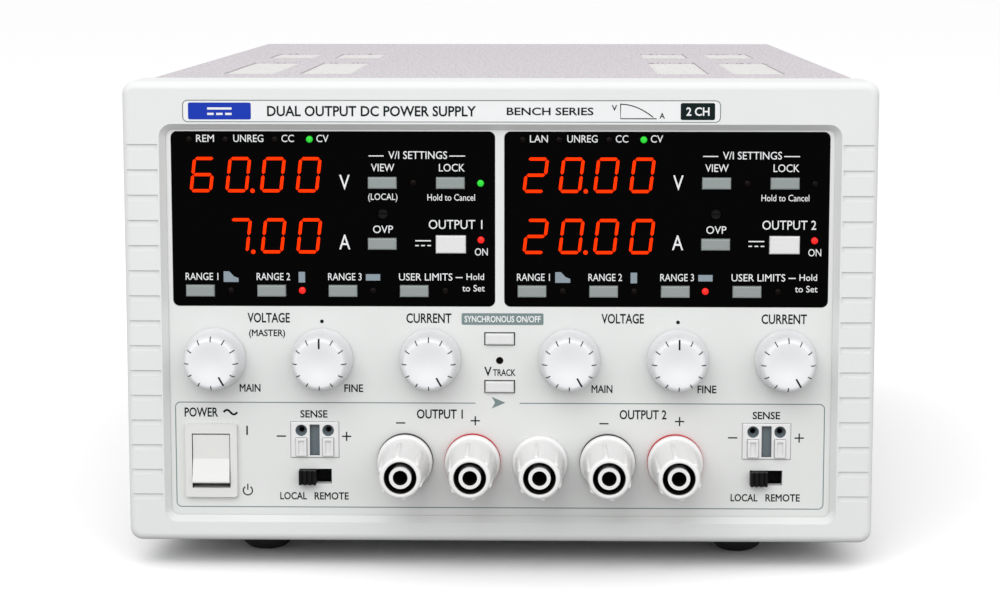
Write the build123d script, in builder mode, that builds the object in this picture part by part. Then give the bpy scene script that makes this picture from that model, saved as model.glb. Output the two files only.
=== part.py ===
from build123d import *
import os
from math import radians, tan

os.makedirs("parts", exist_ok=True)

# A two-channel bench power supply, half a rack wide.
# Frame: +X to the right of its front, +Y to its back, +Z up. The origin is under the middle of
# its bounding box, on the bench.

# ---------------------------------------------------------------- case, millimetres
BEZEL_W = 210.0
BEZEL_H = 130.0
BEZEL_D = 22.0
FOOT_H = 8.0
CASE_D = 335.0
TERMINAL_PROUD = 23.0
REAR_PROUD = 3.0
FRONT_Y = TERMINAL_PROUD - (CASE_D + TERMINAL_PROUD + REAR_PROUD) / 2
REAR_Y = FRONT_Y + CASE_D
BEZEL_BACK_Y = FRONT_Y + BEZEL_D
SHEET_T = 1.2
GAP = 0.2
SLIP = 0.1

BEZEL_CORNER_R = 3.5
BEZEL_EDGE_R = 2.2
BEZEL_WALL_SIDE = 7.0
BEZEL_WALL_TOP = 4.0
BEZEL_INSIDE_R = 2.0
LIP_T = 2.2
OPENING_W = 186.4
OPENING_H = 109.5
OPENING_MID = 61.85
OPENING_R = 2.0
OPENING_FLARE = 36.0
GRIP_COUNT = 15
GRIP_PITCH = 7.07
GRIP_MID = 62.25
GRIP_X = 99.6
GRIP_W = 8.6
GRIP_H = 1.7
GRIP_DEEP = 0.5
NAME_W = 149.3
NAME_H = 6.2
NAME_X = -13.45
NAME_MID = 121.8
NAME_DEEP = 0.4
NAME_R = 1.5

# ---------------------------------------------------------------- front panel
PANEL_RECESS = 2.5
PANEL_T = 3.0
PANEL_W = 191.5
PANEL_H = 114.5
PANEL_R = 2.5
PANEL_Y = FRONT_Y + PANEL_RECESS
PANEL_BACK_Y = PANEL_Y + PANEL_T
POST_X = 92.0
POST_R = 2.5
POST_HEIGHTS = (8.5, 60.0)

WINDOW_X = 46.55
WINDOW_MID = 91.475
WINDOW_W = 90.6
WINDOW_H = 49.2
WINDOW_R = 1.8
WINDOW_SINK = 0.15
WINDOW_FLANGE_T = 1.0
WINDOW_FLANGE = 0.8
WINDOW_BACK_Y = PANEL_BACK_Y + WINDOW_FLANGE_T
BOARD_Y = FRONT_Y + 13.2
BOARD_T = 1.6
BOARD_MARGIN = 1.5

# Controls in each display window: place across from the window's middle, height above the
# bezel's bottom edge, cap width and cap height.
SMALL_CAP = (8.0, 3.25)
OUTPUT_CAP = (8.4, 5.0)
WINDOW_BUTTONS = {
    "view_button": (13.8, 101.7, *SMALL_CAP),
    "lock_button": (32.8, 101.7, *SMALL_CAP),
    "ovp_button": (13.7, 84.6, *SMALL_CAP),
    "output_button": (32.9, 84.5, *OUTPUT_CAP),
    "range_low_button": (-37.5, 71.3, *SMALL_CAP),
    "range_mid_button": (-17.45, 71.3, *SMALL_CAP),
    "range_high_button": (2.6, 71.3, *SMALL_CAP),
    "limits_button": (22.6, 71.3, *SMALL_CAP),
}
BUTTON_SLACK = 0.2
BUTTON_PROUD = 1.1
BUTTON_TRAVEL = 0.8
BUTTON_EDGE_R = 0.45
BUTTON_FLANGE = 0.75
BUTTON_FLANGE_T = 0.8
BUTTON_STEM_R = 1.2
KEY_SWITCH_H = 0.4

LED_R = 0.95
LED_HOLE_R = 1.05
LED_SINK = 0.4
WINDOW_LEDS = (
    (-40.15, 113.8), (-30.0, 113.8), (-16.2, 113.8), (-6.5, 113.8),
    (22.4, 101.7), (41.2, 101.6), (41.3, 85.7),
    (-28.9, 71.35), (-8.9, 71.35), (11.0, 71.35), (31.3, 71.35),
)
TRIMMER_PLACE = (13.8, 92.95)
TRIMMER_HOLE_R = 1.6
TRIMMER_R = 1.4
TRIMMER_SINK = 1.0
TRIMMER_SLOT_W = 0.5
TRIMMER_SLOT_DEEP = 0.6
DIGIT_X = (-36.8, -26.9, -17.2, -7.2)
DIGIT_ROWS = (103.5, 86.5)
DIGIT_BLOCK = (9.7, 14.0)

# ---------------------------------------------------------------- lower half of the panel
KNOB_X = (-80.2, -50.0, -19.55, 19.55, 50.0, 80.2)
KNOB_MID = 52.0
KNOB_NAMES = ("main_knob_1", "fine_knob_1", "current_knob_1",
              "main_knob_2", "fine_knob_2", "current_knob_2")
KNOB_BASE_R = 8.65
KNOB_FACE_R = 6.35
KNOB_H = 10.6
KNOB_DISH = 0.4
KNOB_LIFT = 0.4
KNOB_RIM_H = 1.6
KNOB_SHOULDER = (7.75, 7.4)
KNOB_ROUND = (7.3, 9.5)
KNOB_LIP = 0.9
KNOB_BORE_H = 8.0
SHAFT_R = 3.0
SHAFT_SLACK = 0.05
PRESS_SLACK = 0.02
BUSHING_R = 3.5
BUSHING_BACK = 2.0
POT_R = 8.0
POT_BACK = 11.0
SHAFT_BACK = 8.0

CENTRE_BUTTONS = {"sync_button": 57.8, "track_button": 44.2}
CENTRE_CAP = (8.0, 3.1)
CENTRE_SLACK = 0.35
TRACK_LED_MID = 51.6
CENTRE_BOARD = (10.0, 28.0)
CENTRE_BOARD_MID = 55.6

TERMINAL_X = (-26.7, -7.65, 11.4, 30.45, 49.5)
TERMINAL_MID = 22.9
TERMINAL_H = TERMINAL_PROUD + PANEL_RECESS
TERMINAL_FLANGE_R = 7.8
TERMINAL_FRONT_R = 5.75
TERMINAL_SLEEVE_R = 3.05
TERMINAL_BORE_R = 2.05
TERMINAL_BORE_L = 20.0
TERMINAL_MOUTH_R = 4.5
TERMINAL_FINS = 6
FIN_TURN = -21.0
FIN_W = 1.3
FIN_H = 0.9
FIN_START = 8.0
FIN_END = 0.7
CAP_SKIRT = 0.15
CAP_FLANGE_H = 3.3
CAP_NECK = (6.8, 4.0)
CAP_FLOOR = 9.0
CAP_EDGE = 0.6
COLLAR_T = 1.2
COLLAR_PROUD = 0.1
SEAT_R = 4.0
NUT_R = 6.0
NUT_T = 4.0
STUD_R = 2.5
STUD_BACK = 12.0

SENSE_X = (-52.3, 75.2)
SENSE_MID = 28.8
SENSE_W = 13.8
SENSE_H = 10.45
SENSE_PITCH = 7.6
SENSE_PROUD = 0.4
SENSE_DEEP = 11.0
FUNNEL_RISE = 2.75
LEVER_DROP = 2.0
LEVER_W = 3.3
LEVER_H = 5.4
LEVER_PROUD = 0.8
LEVER_BACK = 3.0
LEVER_PAD = (1.7, 3.8)
LEVER_PAD_DEEP = 0.6
FUNNEL_R = 1.65
FUNNEL_DEEP = 2.0
FUNNEL_SLOPE = 24.0
WIRE_R = 0.65
WIRE_DEEP = 9.0
SENSE_EDGE_R = 0.4
SENSE_WALL = 1.0
GROOVE_W = 2.8
GROOVE_RIM = 0.8
GROOVE_DEEP = 1.2

SLIDE_X = (-52.2, 75.2)
SLIDE_MID = 18.3
SLIDE_W = 9.2
SLIDE_H = 4.3
SLIDER_W = 4.8
SLIDER_PROUD = 3.2
SLIDER_SLACK = 0.1
SLIDE_BODY = (14.2, 5.9)
SLIDE_BODY_BACK = 6.0
SLIDE_WELL_BACK = 3.0
SLIDER_GROOVE_W = 0.6
SLIDER_GROOVE_PITCH = 1.4
SLIDER_GROOVE_DEEP = 0.8

ROCKER_X = -81.6
ROCKER_MID = 22.9
ROCKER_FRAME = (15.0, 21.3)
ROCKER_BODY = (13.2, 19.4)
ROCKER_WELL = (10.8, 15.6)
ROCKER_HALF_H = 7.0
ROCKER_TILT = 8.0
ROCKER_PIVOT = 4.0
ROCKER_DEEP = 15.0
ROCKER_FRAME_T = 1.5
ROCKER_FRAME_R = 0.9
ROCKER_FRAME_SLOPE = 8.0
ROCKER_FLOOR = 4.0
ROCKER_W = 10.4
ROCKER_SINK = 1.2
ROCKER_HEEL = (-1.0, 0.6)
ROCKER_TOE = (-3.5, 2.5)
ROCKER_EDGE_R = 0.5

# ---------------------------------------------------------------- cover, chassis and inside
COVER_W = 206.0
COVER_TOP = BEZEL_H - 0.5
COVER_BOTTOM = 1.5
COVER_R = 2.5
VENT_X = (-76.5, -53.65, 53.65, 76.5)
VENT_W = 15.5
VENT_SPANS = ((59.0, 144.0), (184.0, 224.0))
VENT_SINK = 0.3
VENT_SCREEN_T = 0.9
VENT_R = 0.8
CHASSIS_W = 203.0
FLANGE_H = 12.0
CHASSIS_FRONT_Y = BEZEL_BACK_Y + GAP
FRONT_WALL_H = 122.0
FRONT_WALL_MID = 62.0
WALL_WINDOW = (172.0, 98.0)
STANDOFF_R = 3.0
STANDOFF_PITCH = (150.0, 230.0)
SIDE_SCREW_Y = (-110.0, 20.0, 150.0)
SIDE_SCREW_MID = 9.0
SCREW_R = 1.5
SCREW_HEAD_R = 2.9
SCREW_HEAD_T = 1.4
SCREW_CROSS = (3.4, 0.7)
SCREW_CROSS_DEEP = 0.8
SIDE_SCREW_L = 8.0
FAN_SCREW_L = 14.0
FAN_SCREW_HEAD_T = 1.0
SCREW_HOLE_R = 1.65
FOOT_X = 69.0
FOOT_R = 7.5
FOOT_FRONT = 29.0
FOOT_BACK = 35.0
FOOT_EDGE_R = 4.2

FAN_X = -45.0
FAN_MID = 65.0
FAN_SIZE = 92.0
FAN_D = 25.0
FAN_BORE_R = 44.0
FAN_HOLE = 82.5
FAN_HUB_R = 19.0
FAN_BLADE_R = 42.5
FAN_BLADES = 7
FAN_CORNER_R = 4.0
FAN_STRUT_W = 5.0
FAN_STRUT_T = 4.0
FAN_HUB = (19.0, 2.0)
BLADE_MID = 11.0
BLADE_H = 20.0
BLADE_T = 1.4
BLADE_ANGLE = 38.0
GUARD_WIRE_R = 0.9
GUARD_RINGS = (13.0, 23.0, 33.0, 43.0)
GUARD_SPOKE = (41.0, 1.8)
GUARD_SPOKE_MID = 33.5
GUARD_SPOKE_T = 2.0
GUARD_EYE_R = 5.0
GUARD_EYE_HOLE_R = 1.8

INLET_X = 74.0
INLET_MID = 28.0
INLET_FLANGE = (36.0, 27.0)
INLET_BODY = (28.0, 20.0)
INLET_MOUTH = (24.2, 16.2)
INLET_R = 3.0
INLET_PROUD = 2.0
INLET_BACK = 20.0
INLET_DEEP = 18.0
INLET_PIN = (2.0, 4.0)
INLET_PIN_L = 14.0
INLET_PIN_SINK = 6.0
INLET_PINS = ((-7.0, -1.0), (7.0, -1.0), (0.0, 3.0))

JACK_MID = 78.0
JACK_PROUD = 1.0
JACK_DEEP = 13.0
LAN_X = 40.0
LAN_BODY = (16.0, 14.0)
LAN_MOUTH = (12.0, 8.0)
LAN_BACK = 20.0
USB_X = 68.0
USB_BODY = (12.0, 11.0)
USB_MOUTH = (8.6, 7.8)
USB_BACK = 17.0
USB_TONGUE = (5.6, 3.0)
USB_TONGUE_L = 9.0
USB_TONGUE_SINK = 5.2

MAIN_BOARD_Z = FOOT_H + 7.0
MAIN_BOARD = (186.0, 260.0)
MAIN_BOARD_Y = 15.0
REAR_BOARD = (62.0, 44.0)
REAR_BOARD_DROP = 9.0
REAR_BOARD_BACK = 24.0

SINK_BASE = (82.0, 5.0)
SINK_FIN_REACH = 34.0
SINK_FIN_T = 1.8
SINK_FIN_PITCH = 8.0
SINK_FINS = 11
SINK_L = 150.0
SINK_FAN_GAP = 8.0
SINK_BASES = ((22.0, 1), (108.0, -1))

TRANSFORMER_PLACES = ((52.0, 90.0), (52.0, 20.0))
TRANSFORMER_CORE = (56.0, 34.0, 52.0)
TRANSFORMER_WINDING = (40.0, 54.0, 34.0)
TRANSFORMER_WINDING_UP = 9.0
TRANSFORMER_WINDING_R = 6.0
CAPACITOR_MID = (30.0, -60.0)
CAPACITOR_PITCH = 36.0
CAPACITOR_R = 15.0
CAPACITOR_H = 45.0
CHOKE_PLACE = (-60.0, -75.0)
CHOKE_R = 22.0
CHOKE_HOLE_R = 9.0
CHOKE_H = 20.0


def zb(height):
    """Height above the bench of a place given above the bezel's bottom edge."""
    return FOOT_H + height


def front(y):
    """Plane across the case at y: its sketch is seen from the front, and extrudes forwards."""
    return Plane.XZ.offset(-y)


def turned(x, y, z):
    """Plane for a profile turned about a line along Y: radius across, forwards up."""
    return Plane(origin=(x, y, z), x_dir=(1, 0, 0), z_dir=(0, 0, -1))


def fan_plane(y):
    """Plane at the fan's centre, facing forwards."""
    return Plane(origin=(FAN_X, y, zb(FAN_MID)), x_dir=(1, 0, 0), z_dir=(0, -1, 0))


def save(builder, node):
    """Label a finished sub-part and write its STEP file."""
    builder.part.label = node
    export_step(builder.part, f"parts/{node}.step")


# ---------------------------------------------------------------- front bezel
with BuildPart() as front_bezel:
    with BuildSketch(front(BEZEL_BACK_Y)):
        with Locations((0, zb(BEZEL_H / 2))):
            RectangleRounded(BEZEL_W, BEZEL_H, BEZEL_CORNER_R)
    extrude(amount=BEZEL_D)
    fillet(front_bezel.faces().sort_by(Axis.Y)[0].outer_wire().edges(), BEZEL_EDGE_R)
    with BuildSketch(front(BEZEL_BACK_Y)):
        with Locations((0, zb(BEZEL_H / 2))):
            RectangleRounded(BEZEL_W - 2 * BEZEL_WALL_SIDE, BEZEL_H - 2 * BEZEL_WALL_TOP,
                             BEZEL_INSIDE_R)
    extrude(amount=BEZEL_D - LIP_T, mode=Mode.SUBTRACT)
    with BuildSketch(front(FRONT_Y + LIP_T)):
        with Locations((0, zb(OPENING_MID))):
            RectangleRounded(OPENING_W, OPENING_H, OPENING_R)
    extrude(amount=LIP_T, taper=-OPENING_FLARE, mode=Mode.SUBTRACT)
    with BuildSketch(front(FRONT_Y + GRIP_DEEP)):
        for side in (-1, 1):
            with Locations((side * GRIP_X, zb(GRIP_MID))):
                with GridLocations(0, GRIP_PITCH, 1, GRIP_COUNT):
                    Rectangle(GRIP_W, GRIP_H)
    extrude(amount=GRIP_DEEP, mode=Mode.SUBTRACT)
    with BuildSketch(front(FRONT_Y + NAME_DEEP)):
        with Locations((NAME_X, zb(NAME_MID))):
            RectangleRounded(NAME_W, NAME_H, NAME_R)
    extrude(amount=NAME_DEEP, mode=Mode.SUBTRACT)
save(front_bezel, "front_bezel")

# ---------------------------------------------------------------- front panel
with BuildPart() as front_panel:
    with BuildSketch(front(PANEL_BACK_Y)):
        with Locations((0, zb(OPENING_MID))):
            RectangleRounded(PANEL_W, PANEL_H, PANEL_R)
        with Locations(*[(side * WINDOW_X, zb(WINDOW_MID)) for side in (-1, 1)]):
            RectangleRounded(WINDOW_W, WINDOW_H, WINDOW_R, mode=Mode.SUBTRACT)
        with Locations(*[(x, zb(KNOB_MID)) for x in KNOB_X]):
            Circle(BUSHING_R + SLIP, mode=Mode.SUBTRACT)
        with Locations(*[(0, zb(height)) for height in CENTRE_BUTTONS.values()]):
            Rectangle(CENTRE_CAP[0] + 2 * CENTRE_SLACK, CENTRE_CAP[1] + 2 * CENTRE_SLACK,
                      mode=Mode.SUBTRACT)
        with Locations((0, zb(TRACK_LED_MID))):
            Circle(LED_HOLE_R, mode=Mode.SUBTRACT)
        with Locations(*[(x, zb(TERMINAL_MID)) for x in TERMINAL_X]):
            Circle(SEAT_R + SLIP, mode=Mode.SUBTRACT)
        with Locations(*[(x, zb(SENSE_MID)) for x in SENSE_X]):
            Rectangle(SENSE_W, SENSE_H, mode=Mode.SUBTRACT)
        with Locations(*[(x, zb(SLIDE_MID)) for x in SLIDE_X]):
            Rectangle(SLIDE_W, SLIDE_H, mode=Mode.SUBTRACT)
        with Locations((ROCKER_X, zb(ROCKER_MID))):
            Rectangle(ROCKER_BODY[0] + GAP, ROCKER_BODY[1] + GAP, mode=Mode.SUBTRACT)
    extrude(amount=PANEL_T)
    with BuildSketch(front(CHASSIS_FRONT_Y)):
        for height in POST_HEIGHTS:
            with Locations((-POST_X, zb(height)), (POST_X, zb(height))):
                Circle(POST_R)
    extrude(amount=CHASSIS_FRONT_Y - PANEL_BACK_Y)
save(front_panel, "front_panel")

# ---------------------------------------------------------------- display windows
with BuildPart() as display_windows:
    with BuildSketch(front(WINDOW_BACK_Y)):
        with Locations(*[(side * WINDOW_X, zb(WINDOW_MID)) for side in (-1, 1)]):
            RectangleRounded(WINDOW_W + 2 * WINDOW_FLANGE, WINDOW_H + 2 * WINDOW_FLANGE, WINDOW_R)
    extrude(amount=WINDOW_FLANGE_T)
    with BuildSketch(front(PANEL_BACK_Y)):
        with Locations(*[(side * WINDOW_X, zb(WINDOW_MID)) for side in (-1, 1)]):
            RectangleRounded(WINDOW_W - GAP, WINDOW_H - GAP, WINDOW_R)
    extrude(amount=PANEL_T - WINDOW_SINK)
    with BuildSketch(front(WINDOW_BACK_Y)):
        for side in (-1, 1):
            for u, height, cap_w, cap_h in WINDOW_BUTTONS.values():
                with Locations((side * WINDOW_X + u, zb(height))):
                    Rectangle(cap_w + 2 * BUTTON_SLACK, cap_h + 2 * BUTTON_SLACK)
            with Locations(*[(side * WINDOW_X + u, zb(height)) for u, height in WINDOW_LEDS]):
                Circle(LED_HOLE_R)
            with Locations((side * WINDOW_X + TRIMMER_PLACE[0], zb(TRIMMER_PLACE[1]))):
                Circle(TRIMMER_HOLE_R)
    extrude(amount=WINDOW_FLANGE_T + PANEL_T, mode=Mode.SUBTRACT)
save(display_windows, "display_windows")

# ---------------------------------------------------------------- display boards with lamps
with BuildPart() as display_modules:
    with BuildSketch(front(BOARD_Y + BOARD_T)):
        with Locations(*[(side * WINDOW_X, zb(WINDOW_MID)) for side in (-1, 1)]):
            Rectangle(WINDOW_W - 2 * BOARD_MARGIN, WINDOW_H - 2 * BOARD_MARGIN)
        with Locations((0, zb(CENTRE_BOARD_MID))):
            Rectangle(*CENTRE_BOARD)
    extrude(amount=BOARD_T)
    with BuildSketch(front(BOARD_Y)):
        for side in (-1, 1):
            for row in DIGIT_ROWS:
                with Locations(*[(side * WINDOW_X + u, zb(row)) for u in DIGIT_X]):
                    Rectangle(*DIGIT_BLOCK)
    extrude(amount=BOARD_Y - WINDOW_BACK_Y - GAP)
    with BuildSketch(front(BOARD_Y)):
        for side in (-1, 1):
            with Locations(*[(side * WINDOW_X + u, zb(height)) for u, height in WINDOW_LEDS]):
                Circle(LED_R)
        with Locations((0, zb(TRACK_LED_MID))):
            Circle(LED_R)
    extrude(amount=BOARD_Y - PANEL_Y - LED_SINK)
save(display_modules, "display_modules")


# ---------------------------------------------------------------- push buttons
def push_button(node, x, height, cap_w, cap_h, stop_y):
    """Captive push button: rounded cap, flange behind stop_y, stem towards its key switch."""
    flange_y = stop_y + SLIP
    stem_y = BOARD_Y - BUTTON_TRAVEL - KEY_SWITCH_H
    with BuildPart() as button:
        with BuildSketch(front(flange_y)):
            with Locations((x, zb(height))):
                Rectangle(cap_w, cap_h)
        extrude(amount=flange_y - PANEL_Y + BUTTON_PROUD)
        fillet(button.faces().sort_by(Axis.Y)[0].edges(), BUTTON_EDGE_R)
        with BuildSketch(front(flange_y + BUTTON_FLANGE_T)):
            with Locations((x, zb(height))):
                Rectangle(cap_w + 2 * BUTTON_FLANGE, cap_h + 2 * BUTTON_FLANGE)
        extrude(amount=BUTTON_FLANGE_T)
        with BuildSketch(front(stem_y)):
            with Locations((x, zb(height))):
                Circle(BUTTON_STEM_R)
        extrude(amount=stem_y - flange_y)
    save(button, node)


for unit, side in ((1, -1), (2, 1)):
    for name, (u, height, cap_w, cap_h) in WINDOW_BUTTONS.items():
        push_button(f"{name}_{unit}", side * WINDOW_X + u, height, cap_w, cap_h, WINDOW_BACK_Y)
for name, height in CENTRE_BUTTONS.items():
    push_button(name, 0, height, *CENTRE_CAP, PANEL_BACK_Y)


# ---------------------------------------------------------------- overvoltage trimmers
def trimmer(node, x, height):
    """Slotted preset screw, set back in its hole in the display window."""
    with BuildPart() as screw:
        with BuildSketch(front(BOARD_Y - GAP)):
            with Locations((x, zb(height))):
                Circle(TRIMMER_R)
        extrude(amount=BOARD_Y - GAP - PANEL_Y - TRIMMER_SINK)
        with BuildSketch(front(PANEL_Y + TRIMMER_SINK + TRIMMER_SLOT_DEEP)):
            with Locations((x, zb(height))):
                Rectangle(2 * TRIMMER_R, TRIMMER_SLOT_W)
        extrude(amount=TRIMMER_SLOT_DEEP, mode=Mode.SUBTRACT)
    save(screw, node)


for unit, side in ((1, -1), (2, 1)):
    trimmer(f"ovp_trimmer_{unit}", side * WINDOW_X + TRIMMER_PLACE[0], TRIMMER_PLACE[1])


# ---------------------------------------------------------------- knobs and their controls
def knob(node, x):
    """Round knob with a sloped skirt, a rounded shoulder and a dished face, on its shaft."""
    axis = Axis((x, PANEL_Y, zb(KNOB_MID)), (0, -1, 0))
    bore_r = SHAFT_R + PRESS_SLACK
    with BuildPart() as turned_knob:
        with BuildSketch(turned(x, PANEL_Y, zb(KNOB_MID))):
            with BuildLine():
                Polyline((0, KNOB_BORE_H), (bore_r, KNOB_BORE_H), (bore_r, KNOB_LIFT),
                         (KNOB_BASE_R, KNOB_LIFT), (KNOB_BASE_R, KNOB_RIM_H), KNOB_SHOULDER)
                ThreePointArc(KNOB_SHOULDER, KNOB_ROUND, (KNOB_FACE_R, KNOB_H))
                Polyline((KNOB_FACE_R, KNOB_H), (KNOB_FACE_R - KNOB_LIP, KNOB_H - KNOB_DISH),
                         (0, KNOB_H - KNOB_DISH), (0, KNOB_BORE_H))
            make_face()
        revolve(axis=axis)
        with BuildSketch(front(PANEL_BACK_Y + SHAFT_BACK)):
            with Locations((x, zb(KNOB_MID))):
                Circle(SHAFT_R)
        extrude(amount=SHAFT_BACK + PANEL_T + KNOB_BORE_H - SHAFT_SLACK)
    save(turned_knob, node)


for name, x in zip(KNOB_NAMES, KNOB_X):
    knob(name, x)

with BuildPart() as potentiometers:
    with BuildSketch(front(PANEL_BACK_Y + BUSHING_BACK)):
        with Locations(*[(x, zb(KNOB_MID)) for x in KNOB_X]):
            Circle(BUSHING_R)
    extrude(amount=BUSHING_BACK + PANEL_T)
    with BuildSketch(front(PANEL_BACK_Y + POT_BACK)):
        with Locations(*[(x, zb(KNOB_MID)) for x in KNOB_X]):
            Circle(POT_R)
    extrude(amount=POT_BACK - BUSHING_BACK)
    with BuildSketch(front(PANEL_BACK_Y + SHAFT_BACK + GAP)):
        with Locations(*[(x, zb(KNOB_MID)) for x in KNOB_X]):
            Circle(SHAFT_R + SHAFT_SLACK)
    extrude(amount=SHAFT_BACK + GAP + PANEL_T, mode=Mode.SUBTRACT)
save(potentiometers, "potentiometers")

# ---------------------------------------------------------------- output terminals
with BuildPart() as terminal_collars:
    with BuildSketch(front(PANEL_Y)):
        with Locations(*[(x, zb(TERMINAL_MID)) for x in TERMINAL_X]):
            Circle(TERMINAL_FLANGE_R + COLLAR_PROUD)
            Circle(SEAT_R + SLIP / 2, mode=Mode.SUBTRACT)
    extrude(amount=COLLAR_T)
save(terminal_collars, "terminal_collars")

sleeve_front_y = PANEL_Y - TERMINAL_H + CAP_EDGE
with BuildPart() as terminal_posts:
    with BuildSketch(front(PANEL_BACK_Y)):
        with Locations(*[(x, zb(TERMINAL_MID)) for x in TERMINAL_X]):
            Circle(SEAT_R)
    extrude(amount=PANEL_T + COLLAR_T)
    with BuildSketch(front(PANEL_BACK_Y)):
        with Locations(*[(x, zb(TERMINAL_MID)) for x in TERMINAL_X]):
            Circle(TERMINAL_SLEEVE_R)
    extrude(amount=PANEL_BACK_Y - sleeve_front_y)
    with BuildSketch(front(PANEL_BACK_Y + NUT_T)):
        with Locations(*[(x, zb(TERMINAL_MID)) for x in TERMINAL_X]):
            RegularPolygon(NUT_R, 6)
    extrude(amount=NUT_T)
    with BuildSketch(front(PANEL_BACK_Y + STUD_BACK)):
        with Locations(*[(x, zb(TERMINAL_MID)) for x in TERMINAL_X]):
            Circle(STUD_R)
    extrude(amount=STUD_BACK - NUT_T)
    with BuildSketch(front(sleeve_front_y + TERMINAL_BORE_L)):
        with Locations(*[(x, zb(TERMINAL_MID)) for x in TERMINAL_X]):
            Circle(TERMINAL_BORE_R)
    extrude(amount=TERMINAL_BORE_L, mode=Mode.SUBTRACT)
save(terminal_posts, "terminal_posts")


def terminal_cap(node, x):
    """Screw cap of a binding post: flange, tapered body with grip fins, wide mouth."""
    z = zb(TERMINAL_MID)
    skirt = COLLAR_T + CAP_SKIRT
    bore_r = TERMINAL_SLEEVE_R + SLIP
    with BuildPart() as cap:
        with BuildSketch(turned(x, PANEL_Y, z)):
            with BuildLine():
                Polyline((bore_r, skirt), (TERMINAL_FLANGE_R - CAP_EDGE, skirt),
                         (TERMINAL_FLANGE_R, skirt + CAP_EDGE), (TERMINAL_FLANGE_R, CAP_FLANGE_H),
                         CAP_NECK, (TERMINAL_FRONT_R, TERMINAL_H - CAP_EDGE),
                         (TERMINAL_FRONT_R - CAP_EDGE, TERMINAL_H), (TERMINAL_MOUTH_R, TERMINAL_H),
                         (TERMINAL_MOUTH_R, CAP_FLOOR), (bore_r, CAP_FLOOR), close=True)
            make_face()
        revolve(axis=Axis((x, PANEL_Y, z), (0, -1, 0)))
        with BuildSketch(front(PANEL_Y - FIN_START)):
            with Locations((x, z)):
                with PolarLocations(TERMINAL_FRONT_R, TERMINAL_FINS, start_angle=FIN_TURN):
                    Rectangle(FIN_W, FIN_H)
        extrude(amount=TERMINAL_H - FIN_END - FIN_START)
    save(cap, node)


for number, x in enumerate(TERMINAL_X, 1):
    terminal_cap(f"terminal_cap_{number}", x)

# ---------------------------------------------------------------- sense terminals
with BuildPart() as sense_housings:
    with BuildSketch(front(PANEL_BACK_Y + SENSE_DEEP)):
        with Locations(*[(x, zb(SENSE_MID)) for x in SENSE_X]):
            Rectangle(SENSE_W - GAP, SENSE_H - GAP)
    extrude(amount=SENSE_DEEP + PANEL_T + SENSE_PROUD)
    fillet(sense_housings.faces().filter_by(Plane.XZ).group_by(Axis.Y)[0].edges(), SENSE_EDGE_R)
    with BuildSketch(front(PANEL_Y + GROOVE_DEEP)):
        with Locations(*[(x, zb(SENSE_MID)) for x in SENSE_X]):
            Rectangle(GROOVE_W, SENSE_H - 2 * GROOVE_RIM)
    extrude(amount=GROOVE_DEEP + SENSE_PROUD, mode=Mode.SUBTRACT)
    with BuildSketch(front(PANEL_BACK_Y + SENSE_DEEP - SENSE_WALL)):
        for x in SENSE_X:
            with Locations((x, zb(SENSE_MID - LEVER_DROP))):
                with GridLocations(SENSE_PITCH, 0, 2, 1):
                    Rectangle(LEVER_W, LEVER_H)
    extrude(amount=SENSE_DEEP + PANEL_T + SENSE_PROUD - SENSE_WALL, mode=Mode.SUBTRACT)
    with BuildSketch(front(PANEL_Y - SENSE_PROUD)):
        for x in SENSE_X:
            with Locations((x, zb(SENSE_MID + FUNNEL_RISE))):
                with GridLocations(SENSE_PITCH, 0, 2, 1):
                    Circle(FUNNEL_R)
    extrude(amount=-FUNNEL_DEEP, taper=FUNNEL_SLOPE, mode=Mode.SUBTRACT)
    with BuildSketch(front(PANEL_Y - SENSE_PROUD)):
        for x in SENSE_X:
            with Locations((x, zb(SENSE_MID + FUNNEL_RISE))):
                with GridLocations(SENSE_PITCH, 0, 2, 1):
                    Circle(WIRE_R)
    extrude(amount=-WIRE_DEEP, mode=Mode.SUBTRACT)
save(sense_housings, "sense_housings")


def sense_lever(node, x):
    """Push lever that opens a sense terminal's spring, with a dished pad."""
    pad_y = PANEL_Y - SENSE_PROUD - LEVER_PROUD
    with BuildPart() as lever:
        with BuildSketch(front(PANEL_BACK_Y + SENSE_DEEP - LEVER_BACK)):
            with Locations((x, zb(SENSE_MID - LEVER_DROP))):
                Rectangle(LEVER_W - GAP, LEVER_H - GAP)
        extrude(amount=PANEL_BACK_Y + SENSE_DEEP - LEVER_BACK - pad_y)
        fillet(lever.faces().sort_by(Axis.Y)[0].edges(), 0.75 * SENSE_EDGE_R)
        with BuildSketch(front(pad_y + LEVER_PAD_DEEP)):
            with Locations((x, zb(SENSE_MID - LEVER_DROP))):
                Rectangle(*LEVER_PAD)
        extrude(amount=LEVER_PAD_DEEP, mode=Mode.SUBTRACT)
    save(lever, node)


for unit, x in ((1, SENSE_X[0]), (2, SENSE_X[1])):
    sense_lever(f"sense_lever_minus_{unit}", x - SENSE_PITCH / 2)
    sense_lever(f"sense_lever_plus_{unit}", x + SENSE_PITCH / 2)

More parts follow.
